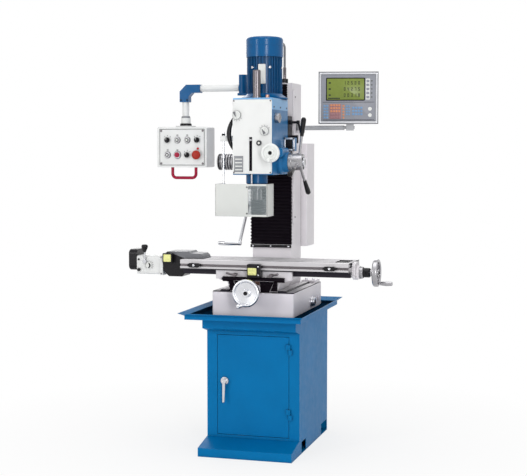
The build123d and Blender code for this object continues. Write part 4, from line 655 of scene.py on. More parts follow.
class MILL_OT_bellows(bpy.types.Operator):
    """Folded covers in front of the column ways, below and above the head slide"""

    bl_idname = "mill.bellows"
    bl_label = "Column bellows"

    def execute(self, context):
        """Make the lower bellows in place of its plain node, and the narrow upper one."""
        wide, deep, tall = span_of("column_bellows")
        slide = span_of("head_slide")[2]
        top = span_of("column")[2][1] - 22
        pleats = context.scene.mill_sizes.pleats
        lower = bmesh.new()
        pleated(lower, wide[1], (deep[0], deep[0] + 9), tall, pleats)
        ends = ((0, deep[0] * MM, tall[0] * MM), (0, deep[0] * MM, tall[1] * MM))
        finish_piece(
            "bellows_lower", lower, None, ["rubbered_cloth"], ["column_bellows"], ("frame", "slide", *ends)
        )
        upper = bmesh.new()
        pleated(upper, 78, (deep[0] + 4, deep[0] + 10), (slide[1] + 1, top), 14)
        ends = ((0, deep[0] * MM, top * MM), (0, deep[0] * MM, slide[1] * MM))
        finish_piece("bellows_upper", upper, None, ["rubbered_cloth"], (), ("frame", "slide", *ends))
        rails = bmesh.new()
        block(rails, wide, (deep[0] - 2, deep[0] + 0.5), (tall[0] - 15, tall[0] - 1), 0, 0.8)
        screws(rails, "Y", [(x, tall[0] - 8) for x in (-88, 0, 88)], deep[0] - 2, -1, 8, 1)
        finish_piece("bellows_rail", rails, "frame", ["black_nylon", "chrome"])
        return {"FINISHED"}


class MILL_OT_guard(bpy.types.Operator):
    """Chip guard: folded white sheet round a clear window, on its swing rod"""

    bl_idname = "mill.guard"
    bl_label = "Chip guard"

    def execute(self, context):
        """Make the guard in place of its plain node."""
        x, y, z = span_of("chip_guard")
        sheet = context.scene.mill_sizes.sheet / MM
        rod = pivot("guard_swing")
        panel = (z[0], z[0] + 148)
        window = (x[1] - 91, x[1] - 4)
        guard = bmesh.new()
        for part in ((x[0], window[0]), (window[1], x[1])):
            block(guard, part, (y[0], y[0] + sheet), panel, 0, 0.6)
        block(guard, (x[1] - sheet, x[1]), (y[0], rod[1] + 8), panel, 0, 0.6)
        block(guard, (x[0], x[0] + sheet), (y[0], rod[1]), panel, 0, 0.6)
        for rail in ((panel[0], panel[0] + 9), (panel[1] - 9, panel[1])):
            block(guard, window, (y[0] + 0.3, y[0] + sheet), rail, 0, 0.4)
        block(guard, (window[0] - 8, window[1] + 1), (y[0] + sheet, y[0] + sheet + 3), panel, 1, 0.5)
        spots = [(window[0] - 5, v) for v in (panel[0] + 14, panel[1] - 14)]
        screws(guard, "Y", spots, y[0], -0.3, 7, 3)
        tube(guard, [(rod[0], rod[1], panel[0]), (rod[0], rod[1], panel[1])], 8, 2, 24)
        tube(guard, [(rod[0], rod[1], panel[1] - 2), (rod[0], rod[1], z[1])], 4, 2, 20)
        collar = z[1] - 17
        ring = [(4, collar), (8, collar), (8, collar + 8), (7, collar + 9), (4, collar + 9)]
        turned(guard, "Z", rod[0], rod[1], ring, 3, 24)
        finish_piece(
            "chip_guard_sheet", guard, "guard",
            ["guard_enamel", "clear_polycarbonate", "chrome", "black_nylon"], ["chip_guard"],
        )
        return {"FINISHED"}


# Bars that each figure of the screen shows

SEGMENTS = {
    "0": "abcdef", "1": "bc", "2": "abged", "3": "abgcd", "4": "fgbc",
    "5": "afgcd", "6": "afgedc", "7": "abc", "8": "abcdefg", "9": "abcdfg",
}


def digit(piece, symbol, x, z, size, y, slot, place):
    """Seven-bar digit on a face."""
    w, h, t = size * 0.5, size, size * 0.16
    bars = {
        "a": ((x, x + w), (z + h - t, z + h)), "g": ((x, x + w), (z + h / 2 - t / 2, z + h / 2 + t / 2)),
        "d": ((x, x + w), (z, z + t)), "f": ((x, x + t), (z + h / 2, z + h)),
        "b": ((x + w - t, x + w), (z + h / 2, z + h)), "e": ((x, x + t), (z, z + h / 2)),
        "c": ((x + w - t, x + w), (z, z + h / 2)),
    }
    for name in SEGMENTS[symbol]:
        block(piece, bars[name][0], y, bars[name][1], slot, 0, place)


class MILL_OT_display(bpy.types.Operator):
    """Front of the position display: lit screen, soft keys and membrane keys"""

    bl_idname = "mill.display"
    bl_label = "Display front"

    def execute(self, context):
        """Lay the screen and the keys into the recess of the housing."""
        tilt = joint("display_tilt")
        across = Vector(tilt["axis"])
        place = Matrix.Translation(tilt["pos_m"]) @ Matrix.Rotation(math.atan2(across.y, across.x), 4, "Z")
        # Every place on the front is in the housing's own frame, from the tilt axis
        face = -28.4
        front = bmesh.new()
        plate(front, "Y", rounded_box((-129, 129), (30, 251), 6), (face - 1.2, face), 0, 0.3, place)
        # Screen in its dark frame, with three rows of figures
        plate(front, "Y", rounded_box((-107, 79), (127, 236), 5), (face - 2.0, face - 1.0), 1, 0.3, place)
        plate(front, "Y", rounded_box((-102, 74), (132, 231), 3), (face - 2.4, face - 1.8), 2, 0.2, place)
        for row, figures in enumerate(("12500", "04275", "00318")):
            z = 203 - 29 * row
            block(front, (-94, -84), (face - 2.6, face - 2.3), (z + 4, z + 12), 3, 0, place)
            for i, symbol in enumerate(figures):
                digit(front, symbol, -22 + 17 * i, z, 16, (face - 2.6, face - 2.3), 3, place)
            block(front, (25.5, 27.5), (face - 2.6, face - 2.3), (z, z + 2), 3, 0, place)
        block(front, (-98, -40), (face - 2.6, face - 2.3), (135, 141), 3, 0, place)
        # Soft keys beside the screen
        plate(front, "Y", rounded_box((82, 102), (132, 231), 2), (face - 1.9, face - 1.0), 4, 0.2, place)
        for i in range(5):
            z = 138 + 19 * i
            plate(front, "Y", rounded_box((85, 99), (z, z + 12), 3), (face - 3.2, face - 1.6), 0, 0.5, place)
            block(front, (106, 114), (face - 1.6, face - 1.1), (z + 4, z + 8), 3, 0, place)
        # Membrane with its groups of keys
        for low, high in ((34, 37), (119, 121)):
            block(front, (-122, 122), (face - 1.6, face - 1.0), (low, high), 5, 0.2, place)
        plate(front, "Y", rounded_box((-90, -34), (40, 112), 3), (face - 1.6, face - 1.0), 9, 0.2, place)
        groups = (
            (6, -118, 42, 2, 5, 12.0), (7, -86, 72, 4, 3, 12.5), (9, -86, 44, 4, 2, 12.5),
            (7, -28, 42, 1, 5, 12.0), (6, -12, 58, 2, 4, 11.0), (6, 18, 58, 4, 3, 13.0),
        )
        for slot, left, low, columns, rows, pitch in groups:
            for i in range(columns):
                for j in range(rows):
                    u, v = left + i * pitch, low + j * (pitch + 2)
                    outline = rounded_box((u, u + pitch - 3), (v, v + pitch - 3), 2)
                    plate(front, "Y", outline, (face - 2.8, face - 1.6), slot, 0.4, place)
        button = [(0, face - 3.4), (8, face - 3.4), (9, face - 1.5), (0, face - 1.5)]
        for z in (58, 88):
            turned(front, "Y", 102, z, button, 4, 24, place)
        # Painted shade: a grey strip round the housing's edge and a grey line round the panel
        border(front, (-142, 142), (-33.0, -32.3), (17, 264), 4, 10, place)
        border(front, (-130, 130), (face - 1.6, face - 0.6), (29, 252), 2, 10, place)
        spots = [(x, z) for x in (-134, 134) for z in (25, 256)]
        screws(front, "Y", spots, -32.5, -0.4, 6, 8, place)
        # Hinge block of the housing in the arm's grey
        hinge = pivot("display_tilt")[2]
        paint("display_housing", "pale_enamel", z=(hinge - 30, hinge + 16))
        finish_piece(
            "display_front", front, "display",
            ["panel_grey", "black_nylon", "lit_screen", "screen_ink", "white_plastic", "mark_ink",
             "key_blue", "key_salmon", "chrome", "key_mauve", "slate_enamel"],
        )
        return {"FINISHED"}


class MILL_OT_pendant(bpy.types.Operator):
    """Front of the pendant: lid, switch rings, lamps, pointers and bare legend plates"""

    bl_idname = "mill.pendant"
    bl_label = "Pendant front"

    def execute(self, context):
        """Lay the lid and the rings round the controls, and mark the selectors."""
        x, y, z = span_of("pendant_box")
        # Face of the box, which is 120 deep without its rings
        body_y = y[1] - 120
        lid_x, lid_z = (x[0] + 12, x[1] - 12), (z[0] + 10, z[0] + 188)
        selectors = ("selector_left", "selector_right", "selector_lower")
        places = {name: pivot(name + "_turn")[::2] for name in selectors}
        start = [sum(span) / 2 for span in span_of("start_button")]
        stop = [sum(span) / 2 for span in span_of("stop_button")]
        halt = [sum(span) / 2 for span in span_of("emergency_stop")]
        rows = (places["selector_lower"][1], places["selector_left"][1])
        lamps = [(stop[0], rows[1]), (places["selector_lower"][0], rows[1])]
        front = bmesh.new()
        # Dark seam round the lid
        border(front, lid_x, (body_y - 0.6, body_y + 0.5), lid_z, 2.2, 4)
        corners = [(u, v) for u in (lid_x[0] + 9, lid_x[1] - 9) for v in (lid_z[0] + 9, lid_z[1] - 9)]
        screws(front, "Y", corners, body_y, -0.6, 10, 0)
        # Steel rings with dark rims round the pushes and lamps
        ringed = [(start[0], start[2]), (stop[0], stop[2])] + lamps
        for (a, b), r in zip(ringed, (10, 13, 10, 10)):
            drawn = ((0.6, -7.2), (3.4, -7.2), (5.2, -4), (5.2, 0.2))
            turned(front, "Y", a, b, [(r + u, body_y + v) for u, v in drawn], 1, 32)
            rim = [(r + 5.2, body_y - 2), (r + 6.8, body_y - 1), (r + 6.8, body_y + 0.2)]
            turned(front, "Y", a, b, rim, 4, 32)
        for a, b in lamps:
            dome = [(0, body_y - 12.5), (3, body_y - 12.2), (5.5, body_y - 11.4)]
            turned(front, "Y", a, b, dome, 2, 32)
            hood = [
                (5.5, body_y - 11.4), (6.5, body_y - 12), (9, body_y - 10), (10, body_y - 8), (10, body_y),
            ]
            turned(front, "Y", a, b, hood, 4, 32)
        red = [(0, body_y - 8.5), (3, body_y - 8), (5.2, body_y - 5.5), (5.2, body_y)]
        turned(front, "Y", halt[0] + 4, rows[0] + 31, red, 3, 24)
        # Plain marks over the selectors, pushes and lamps
        for a, b in places.values():
            dial_marks(front, "Y", a, b, body_y, -1, (19, 24), 50, 130, 3, 4, 2.2)
        for a, b in ringed:
            outline = rounded_box((a - 5, a + 5), (b + 22, b + 26), 1)
            plate(front, "Y", outline, (body_y - 0.5, body_y + 0.3), 4, 0.1)
        finish_piece(
            "pendant_front", front, "pendant",
            ["dark_steel", "ground_steel", "lamp_white", "lamp_red", "mark_ink"],
        )
        push = bmesh.new()
        press = span_of("start_button")[1][0]
        turned(push, "Y", start[0], start[2], [(5, press - 0.4), (9, press - 0.4), (9.2, press + 0.2)], 0, 32)
        finish_piece("start_button_ring", push, "start_button", ["mark_ink"])
        for name, (a, b) in places.items():
            face = span_of(name)[1][0]
            mark = bmesh.new()
            block(mark, (a - 1, a + 1), (face - 0.35, face + 0.3), (b + 2, b + 12), 0, 0.1)
            finish_piece(name + "_mark", mark, name, ["white_plastic"])
        return {"FINISHED"}


class MILL_OT_arms(bpy.types.Operator):
    """Sleeves over the pendant arm's tubes, with rings at the box"""

    bl_idname = "mill.arms"
    bl_label = "Pendant arm tubes"

    def execute(self, context):
        """Sleeve the arm's two tubes in white enamel."""
        turn, swing = pivot("pendant_turn"), pivot("pendant_swing")
        tube_z = span_of("pendant_arm")[2][1] - 64
        sleeve = bmesh.new()
        tube(sleeve, [(turn[0] + 79, turn[1], tube_z), (swing[0] - 19, swing[1], tube_z)], 16.3, 0, 40)
        top = span_of("pendant_box")[2][1]
        tube(sleeve, [(turn[0], turn[1], top + 0.6), (turn[0], turn[1], tube_z - 65)], 17.3, 0, 40)
        ring = [(17, top + 0.6), (22, top + 0.6), (22, top + 7), (20, top + 9), (17, top + 9)]
        turned(sleeve, "Z", turn[0], turn[1], ring, 2, 40)
        spots = [(turn[0] + u, tube_z - 56) for u in (-18, 14)]
        screws(sleeve, "Y", spots, turn[1] - 21, -0.6, 8, 1)
        finish_piece(
            "pendant_arm_tubes", sleeve, "pendant_arm", ["white_enamel", "black_nylon", "grey_enamel"]
        )
        foot = bmesh.new()
        low = top - 39
        ring = [(24, low + 12), (27, low + 12), (29, low + 10), (29, low + 0.3), (24, low + 0.3)]
        turned(foot, "Z", turn[0], turn[1], ring, 0, 40)
        finish_piece("pendant_arm_foot", foot, "pendant", ["black_nylon"])
        return {"FINISHED"}


class MILL_OT_front(bpy.types.Operator):
    """Fittings of the head's front: plate screws, knob marks, bare plate and sight glass"""

    bl_idname = "mill.front"
    bl_label = "Head front"

    def execute(self, context):
        """Dress the front plate and mark the two knobs."""
        x, y, z = span_of("front_plate")
        # Face of the plate, which is 6 thick without its sight ring
        face = y[1] - 6
        front = bmesh.new()
        corners = [(u, v) for u in (x[0] + 6, x[1] - 6) for v in (z[0] + 6, z[1] - 6)]
        screws(front, "Y", corners, face, -0.5, 7, 1)
        # Bare instruction plate on four rivets
        info_x, info_z = (x[0] + 7, x[0] + 50), (z[0] + 8, z[0] + 81)
        plate(front, "Y", rounded_box(info_x, info_z, 2), (face - 0.8, face + 0.2), 0, 0.2)
        for row in range(4):
            low = info_z[0] + 8 + 16 * row
            outline = rounded_box((info_x[0] + 5, info_x[1] - 5), (low, low + 5), 1)
            plate(front, "Y", outline, (face - 1.1, face - 0.7), 2)
        across, up = ((span[0] + 2.5, span[1] - 2.5) for span in (info_x, info_z))
        rivets = [(u, v) for u in across for v in up]
        screws(front, "Y", rivets, face - 0.8, -0.3, 3, 1)
        # Painted shade: a black sheet at the back of the depth slot
        slot_x, slot_z = (-13.8, -0.2), (z[0] + 13.2, z[0] + 166.8)
        block(front, slot_x, (y[1] - 0.6, y[1] + 0.2), slot_z, 5)
        # Marks under one knob and over the other
        for name, start, end in (("speed_knob_left", 215, 325), ("speed_knob_right", 35, 145)):
            spot = pivot(name + "_turn")
            dial_marks(front, "Y", spot[0], spot[2], face, -1, (23, 28), start, end, 5, 3, 1.6)
        # Oil sight: pale domed glass in a dark ring
        sight = (33, sum(z) / 2 - 28.5)
        dome = [(0, face - 6.4), (3, face - 6.1), (5.4, face - 5.2), (5.4, face - 0.2), (0, face - 0.2)]
        turned(front, "Y", sight[0], sight[1], dome, 4, 28)
        line = [(5.4, face - 5.2), (10.8, face - 5.6), (12.4, face - 4.2), (12.4, face + 0.2)]
        turned(front, "Y", sight[0], sight[1], line, 3, 32)
        finish_piece(
            "front_plate_fittings", front, "head",
            ["grey_enamel", "dark_steel", "white_plastic", "mark_ink", "sight_glass", "rubbered_cloth"],
        )
        for name in ("speed_knob_left", "speed_knob_right"):
            spot = pivot(name + "_turn")
            top = span_of(name)[1][0]
            mark = bmesh.new()
            lean = math.radians(20 if name == "speed_knob_left" else 208)
            along, over = math.cos(lean), math.sin(lean)
            drawn = ((-1.2, -9), (1.2, -9), (7, 15), (-7, 15))
            wedge = [(spot[0] + u * along - v * over, spot[2] + u * over + v * along) for u, v in drawn]
            plate(mark, "Y", wedge, (top - 0.8, top + 2.2), 0, 0.2)
            # Painted shade: a grey ring round the foot of the knob
            rim = [(19.2, face - 1.2), (20.4, face - 2), (20.4, face - 5), (19.2, face - 6)]
            turned(mark, "Y", spot[0], spot[2], rim, 1, 40)
            finish_piece(name + "_mark", mark, name, ["slate_enamel", "grey_enamel"])
        return {"FINISHED"}


class MILL_OT_head(bpy.types.Operator):
    """Fittings on the head's sides and the motor"""

    bl_idname = "mill.head"
    bl_label = "Head sides and motor"

    def execute(self, context):
        """Dress the side box, side cap, grab bow, spring drum and motor."""
        half = span_of("front_plate")[0][1] + 2
        lift = pivot("head_tilt")[2]
        side = bmesh.new()
        # Framed side box: bright frame round a dark pane
        box_x, box_z = (half, half + 53), (lift - 35, lift + 27)
        for span_x, span_z in (
            (box_x, (box_z[0], box_z[0] + 9)), (box_x, (box_z[1] - 9, box_z[1])),
            ((box_x[0] + 1, box_x[0] + 10), box_z), ((box_x[1] - 9, box_x[1]), box_z),
        ):
            block(side, span_x, (-24, -19.8), span_z, 0, 0.8)
        block(side, (box_x[0] + 9, box_x[1] - 8), (-21, -19.9), (box_z[0] + 8, box_z[1] - 8), 1, 0.2)
        # Turned cap high on the right side
        cap = [(0, half + 24), (15, half + 24), (20, half + 22), (23, half + 19), (23, half + 1)]
        turned(side, "X", -163, lift + 115, cap, 3, 40)
        # Black grab bow on the left side
        bow = [i / 16 for i in range(17)]
        path = [(-half - 26 * math.sin(math.pi * t) ** 0.8, -188, lift + 118 - 150 * t) for t in bow]
        tube(side, path, [5.5 + 5.5 * math.sin(math.pi * t) for t in bow], 1, 18)
        for end in (path[0], path[-1]):
            turned(side, "X", end[1], end[2], [(0, -half - 3), (8, -half - 3), (9, -half), (0, -half)], 1, 24)
        # Black rings of painted shade in the spring drum's grooves, and the drum's dark end
        pinion = pivot("capstan_turn")
        drum = span_of("spring_drum")[0][0]
        for i in range(7):
            along = drum + 16.5 + i * 86 / 7
            ring = [(35.0, along - 2.3), (36.4, along - 1.2), (36.4, along + 1.2), (35.0, along + 2.3)]
            turned(side, "X", pinion[1], pinion[2], ring, 1, 48)
        end = [(37.8, drum + 13), (38.5, drum + 12), (38.5, drum + 5), (33, drum - 0.4), (8, drum - 0.4)]
        turned(side, "X", pinion[1], pinion[2], end, 1, 48)
        # Screws of the gearbox cover on both sides
        cover = span_of("gearbox_cover")[2]
        for out in (-1, 1):
            spots = [(u, cover[0] + 12) for u in (-190, -80, 30)]
            screws(side, "X", spots, out * half, 0.6 * out, 8, 2)
        finish_piece(
            "head_side_fittings", side, "head",
            ["satin_aluminium", "black_nylon", "dark_steel", "ground_steel"],
        )
        # Bracket of the guard in white, quill boss painted in the darker motor blue as shade, filler plug in
        # bronze
        paint("head_casting", "white_enamel", x=(-200, -half - 1), y=(-165, -135), z=(lift, lift + 40))
        paint("head_casting", "motor_enamel", z=(lift - 200, lift - 145))
        paint("gearbox_cover", "nut_bronze", x=(38, 62), y=(-155, -129), z=(cover[1] - 15, cover[1] + 1))
        # Bright screws round the motor
        motor = bmesh.new()
        spin = Vector(joint("motor_spin")["pos_m"])
        spin.z = 0
        cowl_x, _, cowl_z = span_of("motor_cowl")
        for angle in (-153, -90, -27, 33, 90, 153):
            place = Matrix.Translation(spin) @ Matrix.Rotation(math.radians(angle), 4, "Z")
            screws(motor, "Y", [(0, cowl_z[0] - 58)], -82, -0.6, 12, 0, place)
        # Bare plate on the fins
        place = Matrix.Translation(spin) @ Matrix.Rotation(math.radians(7), 4, "Z")
        outline = rounded_box((-17, 17), (cowl_z[0] - 134, cowl_z[0] - 44), 3)
        plate(motor, "Y", outline, (-84.5, -82), 1, 0.4, place)
        # Pressed ring where the cowl's crown meets its side
        reach, crown = (cowl_x[1] - cowl_x[0]) / 2, cowl_z[1] - 40
        ring = [(reach + u, crown + v) for u, v in ((-0.4, -3), (0.9, -1), (0.9, 1), (-0.4, 3))]
        turned(motor, "Z", spin.x / MM, spin.y / MM, ring, 2, 72)
        finish_piece("motor_fittings", motor, "head", ["chrome", "white_plastic", "motor_enamel"])
        return {"FINISHED"}


class MILL_OT_wheels(bpy.types.Operator):
    """Graduations of the dials and the centre screws of the handwheels"""

    bl_idname = "mill.wheels"
    bl_label = "Dials and wheel centres"

    def execute(self, context):
        """Mark both feed dials and cap the wheel shafts."""
        cap = ((0, 4.5), (5, 4.5), (5, 2.0), (8, 2.0), (9, 1.0), (9, -0.5))
        # Cross feed
        y_at = pivot("y_wheel_turn")
        bracket = span_of("base_casting")[1][0]
        cross = bmesh.new()
        ticks(cross, "Y", y_at[0], y_at[2], 28, (bracket - 23, bracket - 13), 80)
        end = span_of("y_leadscrew")[1][0]
        turned(cross, "Y", y_at[0], y_at[2], [(r, end - rise) for r, rise in cap], 1, 24)
        finish_piece("y_dial_marks", cross, "y_screw", ["mark_ink", "black_nylon"])
        # Long feed
        x_at = pivot("x_wheel_turn")
        bracket = span_of("table_end_bracket")[0][1]
        along = bmesh.new()
        ticks(along, "X", x_at[1], x_at[2], 28, (bracket + 2, bracket + 12), 80)
        end = span_of("x_leadscrew")[0][1]
        turned(along, "X", x_at[1], x_at[2], [(r, end + rise) for r, rise in cap], 1, 24)
        paint("x_handwheel", "black_nylon", x=(bracket + 17, bracket + 50))
        finish_piece("x_dial_marks", along, "x_screw", ["mark_ink", "black_nylon"])
        # Fine feed
        fine_at = pivot("fine_feed_turn")
        fine = bmesh.new()
        face = fine_at[1] - 14.4
        turned(fine, "Y", fine_at[0], fine_at[2], [(r, face - rise) for r, rise in cap], 0, 24)
        finish_piece("fine_feed_screw", fine, "fine_feed", ["black_nylon"])
        # Capstan hub
        hub = bmesh.new()
        pinion = pivot("capstan_turn")
        hub_face = pinion[0] + 67
        spots = [(pinion[1] + 27.5 * math.cos(t), pinion[2] + 27.5 * math.sin(t)) for t in (0.4, 2.5, 4.6)]
        screws(hub, "X", spots, hub_face, 0.5, 9, 0)
        ring = [(21.4, hub_face + 0.2), (21.4, hub_face + 4.6), (19.4, hub_face + 6.5), (15, hub_face + 6.5)]
        turned(hub, "X", pinion[1], pinion[2], ring, 1, 40)
        finish_piece("capstan_screws", hub, "capstan", ["black_nylon", "chrome"])
        return {"FINISHED"}


class MILL_OT_table(bpy.types.Operator):
    """Fittings of the table: trip dogs, drain grille, switch cover and feed marks"""

    bl_idname = "mill.table"
    bl_label = "Table fittings"

    def execute(self, context):
        """Dress the table, the limit switch and the power feed."""
        x, y, z = span_of("table")
        # Front edge of the table behind its trip dogs
        edge = y[0] + 12
        top = z[1]
        table = bmesh.new()
        # Painted shade: the slots, the underside and the dog groove are painted dark
        paint("table", "blackened_iron", y=(edge - 0.5, edge + 60), z=(z[0] - 1, top - 38))
        paint("table", "blackened_iron", y=(edge + 30, edge + 210), z=(top - 23, top - 0.3))
        paint("table", "dark_steel", y=(edge + 1, edge + 9), z=(top - 31, top - 17))
        # Painted light: the table's top faces are paler than its sides
        paint("table", "planed_iron", z=(top - 0.2, top + 0.2))
        paint("table", "black_nylon", y=(y[0] - 1, edge - 0.5))
        for dog in (x[0] + 70, x[1] - 85):
            screws(table, "Y", [(dog, top - 24)], y[0], -0.5, 11, 1)
        # Drain grille in the end pocket
        low, high = (x[1] - 75.5, x[1] - 14.5), (edge + 64.5, edge + 175.5)
        block(table, low, high, (top - 7.9, top - 5), 0, 0.4)
        for i in range(9):
            bar = low[0] + 4 + i * 6.5
            block(table, (bar, bar + 2.4), (high[0] + 2, high[1] - 2), (top - 5.2, top - 2.5), 0, 0.5)
        finish_piece("table_fittings", table, "table", ["black_nylon", "chrome"])
        # Limit switch: pale cover with four pads, and two screws
        switch_x, switch_y, switch_z = span_of("limit_switch")
        saddle = bmesh.new()
        paint("limit_switch", "pale_cover", y=(switch_y[0] - 1, switch_y[0] + 3.9))
        middle = (sum(switch_x) / 2 - 6, sum(switch_z) / 2 - 3)
        for u in (middle[0] - 9, middle[0] + 9):
            for v in (middle[1] - 8, middle[1] + 8):
                outline = rounded_box((u - 6, u + 6), (v - 5, v + 5), 1.5)
                plate(saddle, "Y", outline, (switch_y[0] - 1.2, switch_y[0] - 0.7), 0, 0.1)
        spots = [(switch_x[1] - 8, v) for v in (switch_z[1] - 12, switch_z[0] + 12)]
        screws(saddle, "Y", spots, switch_y[0] + 4, -0.7, 7, 1)
        finish_piece("limit_switch_cover", saddle, "saddle", ["pale_cover", "chrome"])
        # Power feed: marks round its dial, a stud and screws
        feed = bmesh.new()
        dial = pivot("feed_dial_turn")
        housing = span_of("feed_housing")
        face = housing[1][0] + 5
        dial_marks(feed, "Y", dial[0], dial[2], face, -1, (18, 23), -40, 220, 11, 0, 1.4)
        knob = bmesh.new()
        crescent = arc((dial[0], dial[2]), 13, -80, 70, 12) + arc((dial[0] - 5, dial[2]), 11, 60, -65, 12)
        knob_face = span_of("feed_dial")[1][0]
        plate(knob, "Y", crescent, (knob_face - 0.4, knob_face + 0.3))
        finish_piece("feed_dial_mark", knob, "feed_dial", ["black_nylon"])
        screws(feed, "Y", [(housing[0][0] + 10, housing[2][1] - 21)], face, -0.7, 9, 1)
        stud = [(0, face - 11), (5.5, face - 11), (7.5, face - 9), (7.5, face + 0.2)]
        turned(feed, "Y", housing[0][0] + 12, housing[2][0] + 24, stud, 1, 24)
        spots = [(housing[0][1] - 8, v) for v in (housing[2][0] + 8, housing[2][1] - 8)]
        screws(feed, "Y", spots, housing[1][0], -0.6, 7, 2)
        finish_piece("feed_marks", feed, "table", ["mark_ink", "black_nylon", "dark_steel"])
        # Grey cover step and pale switch face of the adaptor, bright stem of the lever
        adaptor = span_of("feed_adaptor")
        paint("feed_adaptor", "slate_enamel", x=(x[0] - 55, adaptor[0][1]), y=(edge, 0), z=(top, top + 60))
        paint("feed_adaptor", "pale_cover", y=(adaptor[1][0] - 1, adaptor[1][0] + 2.9))
        lever_z = pivot("feed_lever_swing")[2]
        paint("feed_lever", "chrome", z=(lever_z - 20, lever_z + 42.5))
        return {"FINISHED"}


class MILL_OT_column(bpy.types.Operator):
    """Fittings of the column and the electrics box behind it"""

    bl_idname = "mill.column"
    bl_label = "Column fittings"

    def execute(self, context):
        """Dress the scale cover, the conduit, the pendant's bracket and the electrics box."""
        column = span_of("column")
        scale = span_of("z_scale_cover")
        box = span_of("electrics_box")
        fittings = bmesh.new()
        low, high = scale[2]
        spots = [(sum(scale[1]) / 2, low + share * (high - low)) for share in (0.05, 0.5, 0.95)]
        screws(fittings, "X", spots, scale[0][1], 0.6, 8, 0)
        # Bent conduit that stands on the column in a clamped socket
        top = column[2][1] - 15
        pipe = context.scene.mill_sizes.conduit / MM / 2
        stand = (40, 200)
        bend = arc((stand[0] - 30, top + 172), 30, 0, 84, 9)
        path = [(*stand, top), (*stand, top + 60), (*stand, top + 120)] + [(u, stand[1], v) for u, v in bend]
        tube(fittings, path, pipe, 3, 20)
        turned(fittings, "Z", *stand, [(17, top), (17, top + 22), (15, top + 24), (8, top + 24)], 1, 32)
        turned(fittings, "Z", *stand, [(8, top + 24), (8, top + 76), (pipe, top + 80)], 0, 32)
        # Bracket of the pendant in the motor's blue
        bracket_z = (column[2][1] - 120, column[2][1] + 1)
        paint("column", "motor_enamel", x=(column[0][0] - 1, -96), y=(130, 230), z=bracket_z)
        # Lid of the electrics box with its screws
        back = box[1][1]
        lid = [(u, v) for u in (box[0][0] + 24, box[0][1] - 24) for v in (box[2][0] + 26, box[2][1] - 26)]
        screws(fittings, "Y", lid, back, 0.6, 10, 0)
        outline = rounded_box((box[0][0] + 34, box[0][1] - 34), (box[2][0] + 40, box[2][1] - 40), 6)
        plate(fittings, "Y", outline, (back - 0.5, back + 1.2), 2, 0.5)
        finish_piece(
            "column_fittings", fittings, "frame",
            ["dark_steel", "black_nylon", "white_enamel", "slate_enamel"],
        )
        return {"FINISHED"}


class MILL_OT_base(bpy.types.Operator):
    """Rubber aprons of the cross slide and the fittings of the base and stand"""

    bl_idname = "mill.base"
    bl_label = "Base fittings"

    def execute(self, context):
        """Make the wiper in place of its plain node, the apron on the ways and the small fittings."""
        x, y, z = span_of("y_way_cover")
        base = span_of("base_casting")
        # Dovetail of the base: its foot, half widths at the foot and the top, and its top
        way = z[0] - 8
        neck, wide, dove = 74, 96, way + 52
        lip, skirt = dove - 3, 114
        wiper = bmesh.new()
        # Ribbed wiper, cut to the dovetail that it slides along
        for side in (-1, 1):
            outline = [(side * u, v) for u, v in (
                (neck + 7, z[0]), (skirt, z[0]), (skirt, lip), (x[1], lip), (x[1], z[1]), (0, z[1]),
                (0, dove + 4), (wide + 4, dove + 4),
            )]
            plate(wiper, "Y", outline, (y[1] - 6, y[1]), 0, 1.0)
            for i in range(3):
                rib = z[1] - 9 - 17 * i
                inner = 0 if i == 0 else neck + (wide - neck) * (rib + 6 - way) / (dove - way) + 4
                across = sorted((side * inner, side * (x[1] if i == 0 else skirt)))
                block(wiper, across, (y[0] + 4 * i, y[1] - 5), (rib - 6, rib + 6), 0, 2.5)
        finish_piece("y_way_wiper", wiper, "saddle", ["rubbered_cloth"], ["y_way_cover"])
        # Small ribbed apron over the front of the dovetail: a rubber cover, drawn also as painted shade there
        apron = bmesh.new()
        front = -186
        drawn = ((28, way), (neck - 3, way), (wide - 3, dove - 2), (28, dove - 2))
        for side in (-1, 1):
            plate(apron, "Y", [(side * u, v) for u, v in drawn], (front - 4, front + 0.5), 0, 0.8)
            for i in range(4):
                rib = way + 7 + 11 * i
                reach = neck - 6 + (wide - neck) * (rib - way) / (dove - way)
                across = sorted((side * 31, side * reach))
                block(apron, across, (front - 7, front - 3), (rib, rib + 5), 0, 1.2)
        finish_piece("y_way_apron", apron, "frame", ["rubbered_cloth"])
        fittings = bmesh.new()
        # Turned plug on the right side, with its hollow painted black as shade
        flank, plug_z = base[0][1] - 5.5, base[2][0] + 37
        plug = ((24, 0), (24, 8), (21, 12), (21, 20), (19, 22), (14, 22))
        hollow = ((14, 22), (13, 14), (0, 14))
        turned(fittings, "X", 112, plug_z, [(r, flank + out) for r, out in plug], 0, 40)
        turned(fittings, "X", 112, plug_z, [(r, flank + out) for r, out in hollow], 1, 32)
        # Screws of the column's foot
        seats = [(side * u, 265) for side in (-1, 1) for u in (135, 170)]
        screws(fittings, "Z", seats, way + 18, 1, 14, 0)
        finish_piece("base_fittings", fittings, "frame", ["satin_aluminium", "black_nylon"])
        # Rails: flanks painted near black as shade, under ground tops
        paint("base_casting", "blackened_iron", y=(base[1][0], 231), z=(way + 0.5, way + 11))
        for top in (way + 5, way + 12):
            paint("base_casting", "ground_iron", y=(base[1][0], 231), z=(top - 0.2, top + 0.2))
        # Inside of the tray, painted nearly black as shade
        tray = span_of("chip_tray")
        paint(
            "chip_tray", "oiled_powder_coat", x=(tray[0][0] + 20.5, tray[0][1] - 20.5),
            y=(tray[1][0] + 45.5, tray[1][1] - 45.5), z=(tray[2][0] + 2.5, tray[2][0] + 21),
        )
        return {"FINISHED"}


